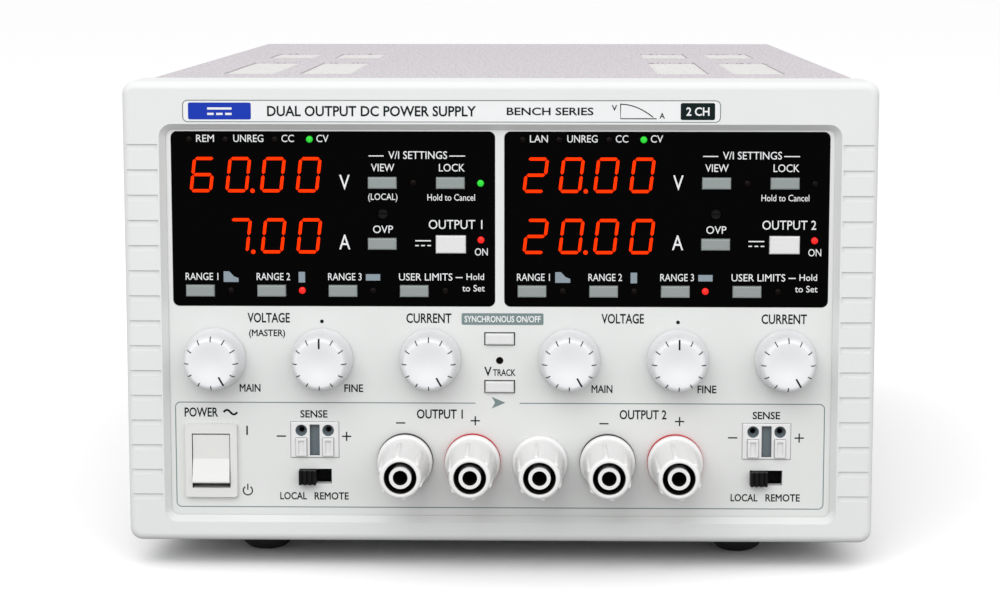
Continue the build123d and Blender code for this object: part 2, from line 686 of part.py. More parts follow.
# ---------------------------------------------------------------- switch housings
with BuildPart() as switch_housings:
    with BuildSketch(front(PANEL_BACK_Y + SLIDE_BODY_BACK)):
        with Locations(*[(x, zb(SLIDE_MID)) for x in SLIDE_X]):
            Rectangle(*SLIDE_BODY)
    extrude(amount=SLIDE_BODY_BACK)
    with BuildSketch(front(PANEL_BACK_Y + SLIDE_WELL_BACK)):
        with Locations(*[(x, zb(SLIDE_MID)) for x in SLIDE_X]):
            Rectangle(SLIDE_W, SLIDE_H)
    extrude(amount=SLIDE_WELL_BACK, mode=Mode.SUBTRACT)
    with BuildSketch(front(PANEL_BACK_Y + ROCKER_DEEP)):
        with Locations((ROCKER_X, zb(ROCKER_MID))):
            Rectangle(*ROCKER_BODY)
    extrude(amount=ROCKER_DEEP + PANEL_T)
    with BuildSketch(front(PANEL_Y)):
        with Locations((ROCKER_X, zb(ROCKER_MID))):
            RectangleRounded(*ROCKER_FRAME, ROCKER_FRAME_R)
    extrude(amount=ROCKER_FRAME_T, taper=ROCKER_FRAME_SLOPE)
    with BuildSketch(front(PANEL_BACK_Y + ROCKER_DEEP - ROCKER_FLOOR)):
        with Locations((ROCKER_X, zb(ROCKER_MID))):
            Rectangle(*ROCKER_WELL)
    extrude(amount=ROCKER_DEEP + PANEL_T, mode=Mode.SUBTRACT)
save(switch_housings, "switch_housings")

# ---------------------------------------------------------------- power rocker
# Drawn at mid-travel, then tipped to its rest place, ON: its top half lies level with the frame.
pivot_y = PANEL_Y - ROCKER_SINK + ROCKER_PIVOT
rocker_axis = Axis((ROCKER_X, pivot_y, zb(ROCKER_MID)), (1, 0, 0))
rocker_rise = ROCKER_HALF_H * tan(radians(ROCKER_TILT))
with BuildPart() as power_rocker:
    with BuildSketch(Plane(origin=(ROCKER_X - ROCKER_W / 2, pivot_y, zb(ROCKER_MID)),
                           x_dir=(0, -1, 0), z_dir=(1, 0, 0))):
        with BuildLine():
            Polyline((ROCKER_PIVOT, 0), (ROCKER_PIVOT + rocker_rise, ROCKER_HALF_H),
                     (ROCKER_HEEL[0], ROCKER_HALF_H - ROCKER_HEEL[1]), ROCKER_TOE,
                     (ROCKER_TOE[0], -ROCKER_TOE[1]),
                     (ROCKER_HEEL[0], ROCKER_HEEL[1] - ROCKER_HALF_H),
                     (ROCKER_PIVOT + rocker_rise, -ROCKER_HALF_H), close=True)
        make_face()
    extrude(amount=ROCKER_W)
    fillet(power_rocker.edges().filter_by(Axis.X).group_by(Axis.Y)[0], ROCKER_EDGE_R)
power_rocker.part = power_rocker.part.rotate(rocker_axis, -ROCKER_TILT)
save(power_rocker, "power_rocker")


# ---------------------------------------------------------------- sense slide switches
def sense_slider(node, x):
    """Ribbed slider at the left end of its slot."""
    with BuildPart() as slider:
        with BuildSketch(front(PANEL_BACK_Y + SLIDE_WELL_BACK - GAP)):
            with Locations((x, zb(SLIDE_MID))):
                Rectangle(SLIDER_W, SLIDE_H - 1.5 * GAP)
        extrude(amount=SLIDE_WELL_BACK - GAP + PANEL_T + SLIDER_PROUD)
        with BuildSketch(front(PANEL_Y - SLIDER_PROUD + SLIDER_GROOVE_DEEP)):
            with Locations((x, zb(SLIDE_MID))):
                with GridLocations(SLIDER_GROOVE_PITCH, 0, 3, 1):
                    Rectangle(SLIDER_GROOVE_W, SLIDE_H)
        extrude(amount=SLIDER_GROOVE_DEEP, mode=Mode.SUBTRACT)
    save(slider, node)


for unit, x in ((1, SLIDE_X[0]), (2, SLIDE_X[1])):
    sense_slider(f"sense_slider_{unit}", x - (SLIDE_W - SLIDER_W) / 2 + SLIDER_SLACK)

# ---------------------------------------------------------------- top cover and vents
vent_places = []
for start, end in VENT_SPANS:
    for x in VENT_X:
        vent_places.append((x, FRONT_Y + (start + end) / 2, end - start))

with BuildPart() as top_cover:
    with BuildSketch(front(REAR_Y)):
        with Locations((0, zb((COVER_TOP + COVER_BOTTOM) / 2))):
            RectangleRounded(COVER_W, COVER_TOP - COVER_BOTTOM, COVER_R)
        with Locations((0, zb((COVER_TOP + COVER_BOTTOM) / 2 - SHEET_T))):
            RectangleRounded(COVER_W - 2 * SHEET_T, COVER_TOP - COVER_BOTTOM, COVER_R - SHEET_T,
                             mode=Mode.SUBTRACT)
        with Locations((0, zb(COVER_BOTTOM))):
            Rectangle(COVER_W, 2 * COVER_R, mode=Mode.SUBTRACT)
    extrude(amount=REAR_Y - BEZEL_BACK_Y - GAP)
    with BuildSketch(Plane.XY.offset(zb(COVER_TOP))):
        for x, y, length in vent_places:
            with Locations((x, y)):
                RectangleRounded(VENT_W, length, VENT_R)
    extrude(amount=-SHEET_T, mode=Mode.SUBTRACT)
    with BuildSketch(Plane.YZ.offset(-BEZEL_W / 2)):
        with Locations(*[(y, zb(SIDE_SCREW_MID)) for y in SIDE_SCREW_Y]):
            Circle(SCREW_HOLE_R)
    extrude(amount=BEZEL_W, mode=Mode.SUBTRACT)
save(top_cover, "top_cover")

with BuildPart() as vent_screens:
    with BuildSketch(Plane.XY.offset(zb(COVER_TOP) - VENT_SINK)):
        for x, y, length in vent_places:
            with Locations((x, y)):
                RectangleRounded(VENT_W - GAP, length - GAP, VENT_R - GAP / 2)
    extrude(amount=-VENT_SCREEN_T)
save(vent_screens, "vent_screens")

# ---------------------------------------------------------------- base chassis
rear_wall_h = COVER_TOP - SHEET_T - GAP
with BuildPart() as base_chassis:
    with BuildSketch(Plane.XY.offset(zb(0))):
        with Locations((0, (CHASSIS_FRONT_Y + REAR_Y) / 2)):
            Rectangle(CHASSIS_W, REAR_Y - CHASSIS_FRONT_Y)
    extrude(amount=SHEET_T)
    with BuildSketch(Plane.XY.offset(zb(0))):
        for side in (-1, 1):
            with Locations((side * (CHASSIS_W - SHEET_T) / 2, (CHASSIS_FRONT_Y + REAR_Y) / 2)):
                Rectangle(SHEET_T, REAR_Y - CHASSIS_FRONT_Y)
    extrude(amount=FLANGE_H)
    with BuildSketch(front(REAR_Y)):
        with Locations((0, zb(rear_wall_h / 2))):
            RectangleRounded(CHASSIS_W, rear_wall_h, COVER_R)
        with Locations((FAN_X, zb(FAN_MID))):
            Circle(FAN_BORE_R, mode=Mode.SUBTRACT)
            with GridLocations(FAN_HOLE, FAN_HOLE, 2, 2):
                Circle(SCREW_HOLE_R, mode=Mode.SUBTRACT)
        with Locations((INLET_X, zb(INLET_MID))):
            Rectangle(INLET_BODY[0] + GAP, INLET_BODY[1] + GAP, mode=Mode.SUBTRACT)
        with Locations((LAN_X, zb(JACK_MID))):
            Rectangle(LAN_BODY[0] + GAP, LAN_BODY[1] + GAP, mode=Mode.SUBTRACT)
        with Locations((USB_X, zb(JACK_MID))):
            Rectangle(USB_BODY[0] + GAP, USB_BODY[1] + GAP, mode=Mode.SUBTRACT)
    extrude(amount=SHEET_T)
    with BuildSketch(front(CHASSIS_FRONT_Y + SHEET_T)):
        with Locations((0, zb(FRONT_WALL_MID))):
            RectangleRounded(CHASSIS_W, FRONT_WALL_H, COVER_R)
            Rectangle(*WALL_WINDOW, mode=Mode.SUBTRACT)
    extrude(amount=SHEET_T)
    with BuildSketch(Plane.XY.offset(zb(SHEET_T))):
        with Locations((0, MAIN_BOARD_Y)):
            with GridLocations(*STANDOFF_PITCH, 2, 2):
                Circle(STANDOFF_R)
    extrude(amount=MAIN_BOARD_Z - zb(SHEET_T))
    with BuildSketch(Plane.YZ.offset(-BEZEL_W / 2)):
        with Locations(*[(y, zb(SIDE_SCREW_MID)) for y in SIDE_SCREW_Y]):
            Circle(SCREW_HOLE_R)
    extrude(amount=BEZEL_W, mode=Mode.SUBTRACT)
save(base_chassis, "base_chassis")

# ---------------------------------------------------------------- rubber feet
foot_places = [(side * FOOT_X, y) for side in (-1, 1)
               for y in (FRONT_Y + FOOT_FRONT, REAR_Y - FOOT_BACK)]
with BuildPart() as rubber_feet:
    with BuildSketch(Plane.XY):
        with Locations(*foot_places):
            Circle(FOOT_R)
    extrude(amount=FOOT_H)
    fillet(rubber_feet.faces().group_by(Axis.Z)[0].edges(), FOOT_EDGE_R)
save(rubber_feet, "rubber_feet")

# ---------------------------------------------------------------- screws
with BuildPart() as case_screws:
    for side in (-1, 1):
        outside = Plane(origin=(side * COVER_W / 2, 0, 0), x_dir=(0, side, 0), z_dir=(side, 0, 0))
        with BuildSketch(outside):
            with Locations(*[(side * y, zb(SIDE_SCREW_MID)) for y in SIDE_SCREW_Y]):
                Circle(SCREW_HEAD_R)
        extrude(amount=SCREW_HEAD_T)
        with BuildSketch(outside):
            with Locations(*[(side * y, zb(SIDE_SCREW_MID)) for y in SIDE_SCREW_Y]):
                Circle(SCREW_R)
        extrude(amount=-SIDE_SCREW_L)
        with BuildSketch(outside.offset(SCREW_HEAD_T)):
            with Locations(*[(side * y, zb(SIDE_SCREW_MID)) for y in SIDE_SCREW_Y]):
                Rectangle(*SCREW_CROSS)
                Rectangle(*SCREW_CROSS[::-1])
        extrude(amount=-SCREW_CROSS_DEEP, mode=Mode.SUBTRACT)
    with BuildSketch(front(REAR_Y + REAR_PROUD)):
        with Locations((FAN_X, zb(FAN_MID))):
            with GridLocations(FAN_HOLE, FAN_HOLE, 2, 2):
                Circle(SCREW_HEAD_R)
    extrude(amount=FAN_SCREW_HEAD_T)
    with BuildSketch(front(REAR_Y + REAR_PROUD - FAN_SCREW_HEAD_T)):
        with Locations((FAN_X, zb(FAN_MID))):
            with GridLocations(FAN_HOLE, FAN_HOLE, 2, 2):
                Circle(SCREW_R)
    extrude(amount=FAN_SCREW_L)
save(case_screws, "case_screws")

# ---------------------------------------------------------------- fan
fan_front_y = REAR_Y - SHEET_T - FAN_D
with BuildPart() as fan_housing:
    with BuildSketch(fan_plane(REAR_Y - SHEET_T)):
        RectangleRounded(FAN_SIZE, FAN_SIZE, FAN_CORNER_R)
        Circle(FAN_BORE_R, mode=Mode.SUBTRACT)
        with GridLocations(FAN_HOLE, FAN_HOLE, 2, 2):
            Circle(SCREW_HOLE_R, mode=Mode.SUBTRACT)
    extrude(amount=FAN_D)
    with BuildSketch(fan_plane(REAR_Y - SHEET_T)):
        Circle(FAN_HUB_R)
        with PolarLocations((FAN_HUB_R + FAN_BORE_R) / 2, 4, start_angle=45):
            Rectangle(FAN_BORE_R - FAN_HUB_R + FAN_STRUT_T, FAN_STRUT_W)
    extrude(amount=FAN_STRUT_T)
save(fan_housing, "fan_housing")

with BuildPart(fan_plane(fan_front_y + BLADE_MID)) as fan_impeller:
    with BuildSketch(fan_plane(fan_front_y + FAN_HUB[0])):
        Circle(FAN_HUB_R)
    extrude(amount=FAN_HUB[0] - FAN_HUB[1])
    with PolarLocations((FAN_HUB_R + FAN_BLADE_R) / 2 - 1, FAN_BLADES):
        Box(FAN_BLADE_R - FAN_HUB_R, BLADE_H, BLADE_T, rotation=(BLADE_ANGLE, 0, 0))
save(fan_impeller, "fan_impeller")

with BuildPart() as fan_guard:
    ring_y = REAR_Y + REAR_PROUD - GUARD_WIRE_R
    for radius in GUARD_RINGS:
        with BuildSketch(Plane(origin=(FAN_X, ring_y, zb(FAN_MID)), x_dir=(1, 0, 0),
                               z_dir=(0, 0, 1))):
            with Locations((radius, 0)):
                Circle(GUARD_WIRE_R)
        revolve(axis=Axis((FAN_X, ring_y, zb(FAN_MID)), (0, -1, 0)))
    with BuildSketch(fan_plane(REAR_Y + GUARD_SPOKE_T)):
        with PolarLocations(GUARD_SPOKE_MID, 4, start_angle=45):
            Rectangle(*GUARD_SPOKE)
        with GridLocations(FAN_HOLE, FAN_HOLE, 2, 2):
            Circle(GUARD_EYE_R)
            Circle(GUARD_EYE_HOLE_R, mode=Mode.SUBTRACT)
    extrude(amount=GUARD_SPOKE_T)
save(fan_guard, "fan_guard")

# ---------------------------------------------------------------- mains inlet
with BuildPart() as mains_inlet:
    with BuildSketch(front(REAR_Y + INLET_PROUD)):
        with Locations((INLET_X, zb(INLET_MID))):
            RectangleRounded(*INLET_FLANGE, INLET_R)
    extrude(amount=INLET_PROUD)
    with BuildSketch(front(REAR_Y)):
        with Locations((INLET_X, zb(INLET_MID))):
            Rectangle(*INLET_BODY)
    extrude(amount=INLET_BACK)
    with BuildSketch(front(REAR_Y + INLET_PROUD)):
        with Locations((INLET_X, zb(INLET_MID))):
            RectangleRounded(*INLET_MOUTH, INLET_R)
    extrude(amount=INLET_DEEP, mode=Mode.SUBTRACT)
    with BuildSketch(front(REAR_Y + INLET_PROUD - INLET_PIN_SINK)):
        with Locations(*[(INLET_X + across, zb(INLET_MID + up)) for across, up in INLET_PINS]):
            Rectangle(*INLET_PIN)
    extrude(amount=INLET_PIN_L)
save(mains_inlet, "mains_inlet")

# ---------------------------------------------------------------- rear sockets
with BuildPart() as rear_connectors:
    with BuildSketch(front(REAR_Y + JACK_PROUD)):
        with Locations((LAN_X, zb(JACK_MID))):
            Rectangle(*LAN_BODY)
    extrude(amount=LAN_BACK)
    with BuildSketch(front(REAR_Y + JACK_PROUD)):
        with Locations((LAN_X, zb(JACK_MID))):
            Rectangle(*LAN_MOUTH)
    extrude(amount=JACK_DEEP, mode=Mode.SUBTRACT)
    with BuildSketch(front(REAR_Y + JACK_PROUD)):
        with Locations((USB_X, zb(JACK_MID))):
            Rectangle(*USB_BODY)
    extrude(amount=USB_BACK)
    with BuildSketch(front(REAR_Y + JACK_PROUD)):
        with Locations((USB_X, zb(JACK_MID))):
            Rectangle(*USB_MOUTH)
    extrude(amount=JACK_DEEP, mode=Mode.SUBTRACT)
    with BuildSketch(front(REAR_Y + JACK_PROUD - USB_TONGUE_SINK)):
        with Locations((USB_X, zb(JACK_MID))):
            Rectangle(*USB_TONGUE)
    extrude(amount=USB_TONGUE_L)
save(rear_connectors, "rear_connectors")

# ---------------------------------------------------------------- circuit boards
with BuildPart() as circuit_boards:
    with BuildSketch(Plane.XY.offset(MAIN_BOARD_Z)):
        with Locations((0, MAIN_BOARD_Y)):
            Rectangle(*MAIN_BOARD)
    extrude(amount=BOARD_T)
    with BuildSketch(Plane.XY.offset(zb(JACK_MID) - REAR_BOARD_DROP)):
        with Locations(((LAN_X + USB_X) / 2, REAR_Y - REAR_BOARD_BACK)):
            Rectangle(*REAR_BOARD)
    extrude(amount=BOARD_T)
save(circuit_boards, "circuit_boards")

# ---------------------------------------------------------------- heat sinks
with BuildPart() as heat_sinks:
    for base, way in SINK_BASES:
        with BuildSketch(front(fan_front_y - SINK_FAN_GAP)):
            with Locations((FAN_X, zb(base + way * SINK_BASE[1] / 2))):
                Rectangle(*SINK_BASE)
            with Locations((FAN_X, zb(base + way * SINK_FIN_REACH / 2))):
                with GridLocations(SINK_FIN_PITCH, 0, SINK_FINS, 1):
                    Rectangle(SINK_FIN_T, SINK_FIN_REACH)
        extrude(amount=SINK_L)
save(heat_sinks, "heat_sinks")

# ---------------------------------------------------------------- transformers and capacitors
board_top = MAIN_BOARD_Z + BOARD_T
with BuildPart() as power_components:
    with BuildSketch(Plane.XY.offset(board_top)):
        with Locations(*TRANSFORMER_PLACES):
            Rectangle(*TRANSFORMER_CORE[:2])
    extrude(amount=TRANSFORMER_CORE[2])
    with BuildSketch(Plane.XY.offset(board_top + TRANSFORMER_WINDING_UP)):
        with Locations(*TRANSFORMER_PLACES):
            RectangleRounded(*TRANSFORMER_WINDING[:2], TRANSFORMER_WINDING_R)
    extrude(amount=TRANSFORMER_WINDING[2])
    with BuildSketch(Plane.XY.offset(board_top)):
        with Locations(CAPACITOR_MID):
            with GridLocations(CAPACITOR_PITCH, CAPACITOR_PITCH, 3, 2):
                Circle(CAPACITOR_R)
    extrude(amount=CAPACITOR_H)
    with BuildSketch(Plane.XY.offset(board_top)):
        with Locations(CHOKE_PLACE):
            Circle(CHOKE_R)
            Circle(CHOKE_HOLE_R, mode=Mode.SUBTRACT)
    extrude(amount=CHOKE_H)
save(power_components, "power_components")
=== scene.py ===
"""Bench power supply with two channels: finishes, lettering and fine pieces round its frame."""

import logging
import math
from collections.abc import Callable, Sequence
from dataclasses import dataclass, field
from enum import Enum
from functools import cache

import bmesh
import bpy
from mathutils import Matrix, Vector


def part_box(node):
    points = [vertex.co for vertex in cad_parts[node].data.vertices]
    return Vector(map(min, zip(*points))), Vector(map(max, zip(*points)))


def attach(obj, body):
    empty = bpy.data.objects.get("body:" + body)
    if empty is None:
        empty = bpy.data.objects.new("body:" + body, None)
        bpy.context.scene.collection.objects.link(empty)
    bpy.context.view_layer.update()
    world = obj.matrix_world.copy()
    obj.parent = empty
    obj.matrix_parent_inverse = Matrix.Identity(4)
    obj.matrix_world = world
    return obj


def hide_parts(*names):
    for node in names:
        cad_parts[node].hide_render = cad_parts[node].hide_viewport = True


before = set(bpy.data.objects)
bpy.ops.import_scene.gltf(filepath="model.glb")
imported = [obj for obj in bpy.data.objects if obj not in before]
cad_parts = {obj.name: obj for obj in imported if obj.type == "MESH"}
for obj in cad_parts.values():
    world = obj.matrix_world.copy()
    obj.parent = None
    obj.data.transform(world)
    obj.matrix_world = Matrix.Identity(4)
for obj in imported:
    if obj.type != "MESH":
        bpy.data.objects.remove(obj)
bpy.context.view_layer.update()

log = logging.getLogger("bench_power_supply")

MM = 0.001
CASE = "case"
INK_T = 0.03 * MM
PRINT_CRISP = 20.0
WELD = 1e-7
FINE_ROUND = 96
Point = tuple[float, float]
Colour = tuple[float, float, float]


# ---------------------------------------------------------------- finishes


class Grain(Enum):
    """How a finish's surface is broken up."""

    MOULDED = "moulded"
    SPECKLED = "speckled"
    BRUSHED = "brushed"
    SMOOTH = "smooth"


class NodeSheet:
    """A node tree, built one node at a time."""

    tree: bpy.types.NodeTree

    def add(self, kind: str, links: dict[str | int, object] | None = None,
            **settings: object) -> bpy.types.Node:
        """Add a node, set its properties and fill its sockets.

        Args:
            kind: The node's type name.
            links: Socket name or number to a value or to another node's output socket.
            **settings: Properties of the node itself.

        Returns:
            The new node.
        """
        node = self.tree.nodes.new(kind)
        for key, value in settings.items():
            setattr(node, key, value)
        for key, value in (links or {}).items():
            self.feed(node.inputs[key], value)
        return node

    def feed(self, socket: bpy.types.NodeSocket, value: object) -> None:
        """Link a socket to an output, or set its value."""
        if isinstance(value, bpy.types.NodeSocket):
            self.tree.links.new(value, socket)
        else:
            socket.default_value = value


class ShaderSheet(NodeSheet):
    """A new material and its node tree."""

    def __init__(self, name: str) -> None:
        """Start an empty material.

        Args:
            name: The material's name.
        """
        self.material = bpy.data.materials.new(name)
        self.material.use_nodes = True
        self.tree = self.material.node_tree
        self.shader = self.tree.nodes["Principled BSDF"]

    def mix(self, share: bpy.types.NodeSocket, first: object, second: object) -> bpy.types.NodeSocket:
        """Blend two colours.

        Args:
            share: Socket that says how much of the second there is.
            first: The first colour, or the socket that gives it.
            second: The second colour, or its socket.

        Returns:
            The blend's socket.
        """
        node = self.add("ShaderNodeMix", data_type="RGBA")
        for key, value in (("Factor", share), ("A", first), ("B", second)):
            self.feed(next(s for s in node.inputs if s.name == key and s.enabled), value)
        return next(s for s in node.outputs if s.enabled)


@dataclass(frozen=True)
class Finish:
    """One material: its colour, how shiny it is and how its surface is broken up."""

    name: str
    colour: Colour
    roughness: float = 0.45
    metallic: float = 0.0
    specular: float = 0.5
    grain: Grain = Grain.MOULDED
    mottle: float = 0.02
    bump: float = 0.12
    scale: float = 1800.0
    speck: Colour = (0.4, 0.38, 0.4)
    speck_range: Point = (0.50, 0.66)
    glow: float = 0.0
    broad_scale: float = 55.0
    brush_stretch: float = 0.04
    rough_spread: float = 0.06
    least_rough: float = 0.02
    bump_depth: float = 0.1 * MM

    def material(self) -> bpy.types.Material:
        """Build the material, or give back the one already built.

        Returns:
            The material of this finish.
        """
        made = bpy.data.materials.get(f"look_{self.name}")
        if made is not None:
            return made
        sheet = ShaderSheet(f"look_{self.name}")
        place = sheet.add("ShaderNodeTexCoord").outputs["Object"]
        if self.grain is Grain.BRUSHED:
            place = sheet.add("ShaderNodeMapping", {
                "Vector": place, "Scale": (1.0, self.brush_stretch, 1.0)}).outputs[0]
        broad = sheet.add("ShaderNodeTexNoise", {
            "Vector": place, "Scale": self.broad_scale, "Detail": 3.0})
        fine = sheet.add("ShaderNodeTexNoise", {"Vector": place, "Scale": self.scale, "Detail": 2.0})
        colour = self._tint(sheet, broad.outputs["Fac"])
        if self.grain is Grain.SPECKLED:
            colour = self._specks(sheet, colour, fine.outputs["Fac"])
        shader = sheet.shader
        sheet.feed(shader.inputs["Base Color"], colour)
        rough = sheet.add("ShaderNodeMapRange", {
            "Value": fine.outputs["Fac"],
            "To Min": max(self.roughness - self.rough_spread, self.least_rough),
            "To Max": self.roughness + self.rough_spread})
        sheet.feed(shader.inputs["Roughness"], rough.outputs[0])
        shader.inputs["Metallic"].default_value = self.metallic
        shader.inputs["Specular IOR Level"].default_value = self.specular
        if self.grain is not Grain.SMOOTH:
            bump = sheet.add("ShaderNodeBump", {
                "Height": fine.outputs["Fac"], "Strength": self.bump,
                "Distance": self.bump_depth})
            sheet.feed(shader.inputs["Normal"], bump.outputs[0])
        if self.glow > 0:
            sheet.feed(shader.inputs["Emission Color"], colour)
            shader.inputs["Emission Strength"].default_value = self.glow
        return sheet.material

    def _tint(self, sheet: ShaderSheet, share: bpy.types.NodeSocket) -> bpy.types.NodeSocket:
        """Vary the colour a little from place to place and return its socket."""
        low = (*(c * (1 - self.mottle) for c in self.colour), 1.0)
        high = (*(min(c * (1 + self.mottle), 1.0) for c in self.colour), 1.0)
        return sheet.mix(share, low, high)

    def _specks(self, sheet: ShaderSheet, colour: bpy.types.NodeSocket,
                fine: bpy.types.NodeSocket) -> bpy.types.NodeSocket:
        """Scatter darker specks over a colour and return the result's socket."""
        ramp = sheet.add("ShaderNodeMapRange", {
            "Value": fine, "From Min": self.speck_range[0], "From Max": self.speck_range[1]})
        return sheet.mix(ramp.outputs[0], colour, (*self.speck, 1.0))


BEZEL_PLASTIC = Finish("bezel_plastic", (0.66, 0.67, 0.665), 0.5, scale=2200.0)
PANEL_PLASTIC = Finish("panel_plastic", (0.645, 0.655, 0.645), 0.5, scale=2400.0)
SWITCH_WHITE = Finish("switch_white", (0.66, 0.66, 0.645), 0.38, scale=2600.0, bump=0.06)
KNOB_WHITE = Finish("knob_white", (0.70, 0.71, 0.725), 0.38, scale=2600.0, bump=0.06)
CAP_WHITE = Finish("cap_white", (0.72, 0.72, 0.715), 0.3, scale=2600.0, bump=0.05)
SENSE_WHITE = Finish("sense_white", (0.68, 0.68, 0.68), 0.4, scale=2600.0, bump=0.05)
SENSE_GREY = Finish("sense_grey", (0.12, 0.15, 0.165), 0.5, scale=2600.0)
KEY_GREY = Finish("key_grey", (0.235, 0.265, 0.26), 0.42, scale=2600.0, bump=0.08)
KEY_WHITE = Finish("key_white", (0.64, 0.645, 0.64), 0.4, scale=2600.0, bump=0.08)
WINDOW_BLACK = Finish("window_black", (0.001, 0.001, 0.001), 0.2, specular=0.02, grain=Grain.SMOOTH)
COVER_PAINT = Finish("cover_paint", (0.54, 0.505, 0.535), 0.55, grain=Grain.SPECKLED, bump=0.5,
                     scale=1150.0, speck=(0.24, 0.22, 0.24))
MESH_PAINT = Finish("mesh_paint", (0.66, 0.65, 0.64), 0.55, bump=0.3, scale=1500.0)
CHASSIS_STEEL = Finish("chassis_steel", (0.52, 0.52, 0.53), 0.36, 0.9, grain=Grain.BRUSHED)
SCREW_STEEL = Finish("screw_steel", (0.50, 0.50, 0.52), 0.3, 1.0, grain=Grain.BRUSHED, bump=0.05)
GUARD_CHROME = Finish("guard_chrome", (0.72, 0.72, 0.74), 0.18, 1.0, bump=0.03)
# Near-black for the insides of holes, wells and recesses: painted shade where those hollows fall dark.
HOLLOW_SHADE = Finish("hollow_shade", (0.012, 0.009, 0.007), 0.6, specular=0.2)
SWITCH_BLACK = Finish("switch_black", (0.007, 0.007, 0.008), 0.5, specular=0.08)
RUBBER = Finish("foot_rubber", (0.02, 0.02, 0.02), 0.7, bump=0.25)
BOARD_GREEN = Finish("board_green", (0.02, 0.10, 0.04), 0.4)
SINK_BLACK = Finish("heat_sink_black", (0.03, 0.03, 0.032), 0.4, 0.6, grain=Grain.BRUSHED)
CORE_DARK = Finish("core_varnish", (0.09, 0.07, 0.05), 0.4)
FAN_BLACK = Finish("fan_black", (0.016, 0.016, 0.017), 0.5)
RED_RING = Finish("red_ring", (0.50, 0.004, 0.016), 0.4, specular=0.1, bump=0.05)
BLACK_RING = Finish("black_ring", (0.005, 0.005, 0.005), 0.4, specular=0.1, bump=0.05)
INK_DARK = Finish("ink_dark", (0.006, 0.013, 0.013), 0.6, grain=Grain.SMOOTH, specular=0.05)
INK_TEAL = Finish("ink_teal", (0.16, 0.215, 0.215), 0.5, grain=Grain.SMOOTH, specular=0.3)
INK_WHITE = Finish("ink_white", (0.70, 0.71, 0.72), 0.5, grain=Grain.SMOOTH, specular=0.2)
INK_SLATE = Finish("ink_slate", (0.22, 0.27, 0.31), 0.5, grain=Grain.SMOOTH, specular=0.2)
INK_BLUE = Finish("ink_blue", (0.008, 0.035, 0.37), 0.5, grain=Grain.SMOOTH, specular=0.1)
PLATE_WHITE = Finish("plate_white", (0.72, 0.725, 0.73), 0.4, bump=0.04)
DIGIT_RED = Finish("digit_red", (0.85, 0.026, 0.001), 0.6, grain=Grain.SMOOTH, specular=0.0, glow=0.6)
LAMP_GREEN = Finish("lamp_green", (0.02, 0.50, 0.03), 0.2, grain=Grain.SMOOTH, specular=0.2, glow=0.4)
LAMP_RED = Finish("lamp_red", (0.85, 0.015, 0.012), 0.2, grain=Grain.SMOOTH, specular=0.2, glow=0.45)
LAMP_OFF = Finish("lamp_off", (0.004, 0.002, 0.002), 0.3, grain=Grain.SMOOTH, specular=0.06)
TRIMMER_DARK = Finish("trimmer_dark", (0.006, 0.006, 0.007), 0.5, grain=Grain.SMOOTH, specular=0.1)


# ---------------------------------------------------------------- shapes


def middle(node: str) -> Vector:
    """Middle of a node's box at rest, in metres."""
    low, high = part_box(node)
    return (low + high) / 2


def arc(centre: Point, radius: float, start: float, stop: float, steps: int) -> list[Point]:
    """Points along an arc.

    Args:
        centre: The arc's centre.
        radius: Its radius.
        start: First angle in degrees, anticlockwise from the right.
        stop: Last angle in degrees.
        steps: Number of chords.

    Returns:
        The points, both ends included.
    """
    turns = [math.radians(start + (stop - start) * i / steps) for i in range(steps + 1)]
    return [(centre[0] + radius * math.cos(t), centre[1] + radius * math.sin(t)) for t in turns]


def circle(centre: Point, radius: float, steps: int = 20) -> list[Point]:
    """Outline of a circle, anticlockwise from the right."""
    return arc(centre, radius, 0, 360, steps)[:-1]


def rounded(centre: Point, width: float, height: float, radius: float, steps: int = 6) -> list[Point]:
    """Outline of a rectangle with round corners, anticlockwise."""
    a, b = width / 2 - radius, height / 2 - radius
    points: list[Point] = []
    for quarter, (sx, sz) in enumerate(((1, 1), (-1, 1), (-1, -1), (1, -1))):
        corner = (centre[0] + sx * a, centre[1] + sz * b)
        points += arc(corner, radius, 90 * quarter, 90 * quarter + 90, steps)
    return points


def finished_mesh(name: str, parts: bmesh.types.BMesh) -> bpy.types.Mesh:
    """Turn gathered faces into a mesh and free them."""
    mesh = bpy.data.meshes.new(name)
    parts.to_mesh(mesh)
    parts.free()
    return mesh


def smooth_by_angle(mesh: bpy.types.Mesh, degrees: float) -> None:
    """Shade a mesh smooth, with edges sharper than an angle kept crisp."""
    mesh.shade_smooth()
    mesh.set_sharp_from_angle(angle=math.radians(degrees))


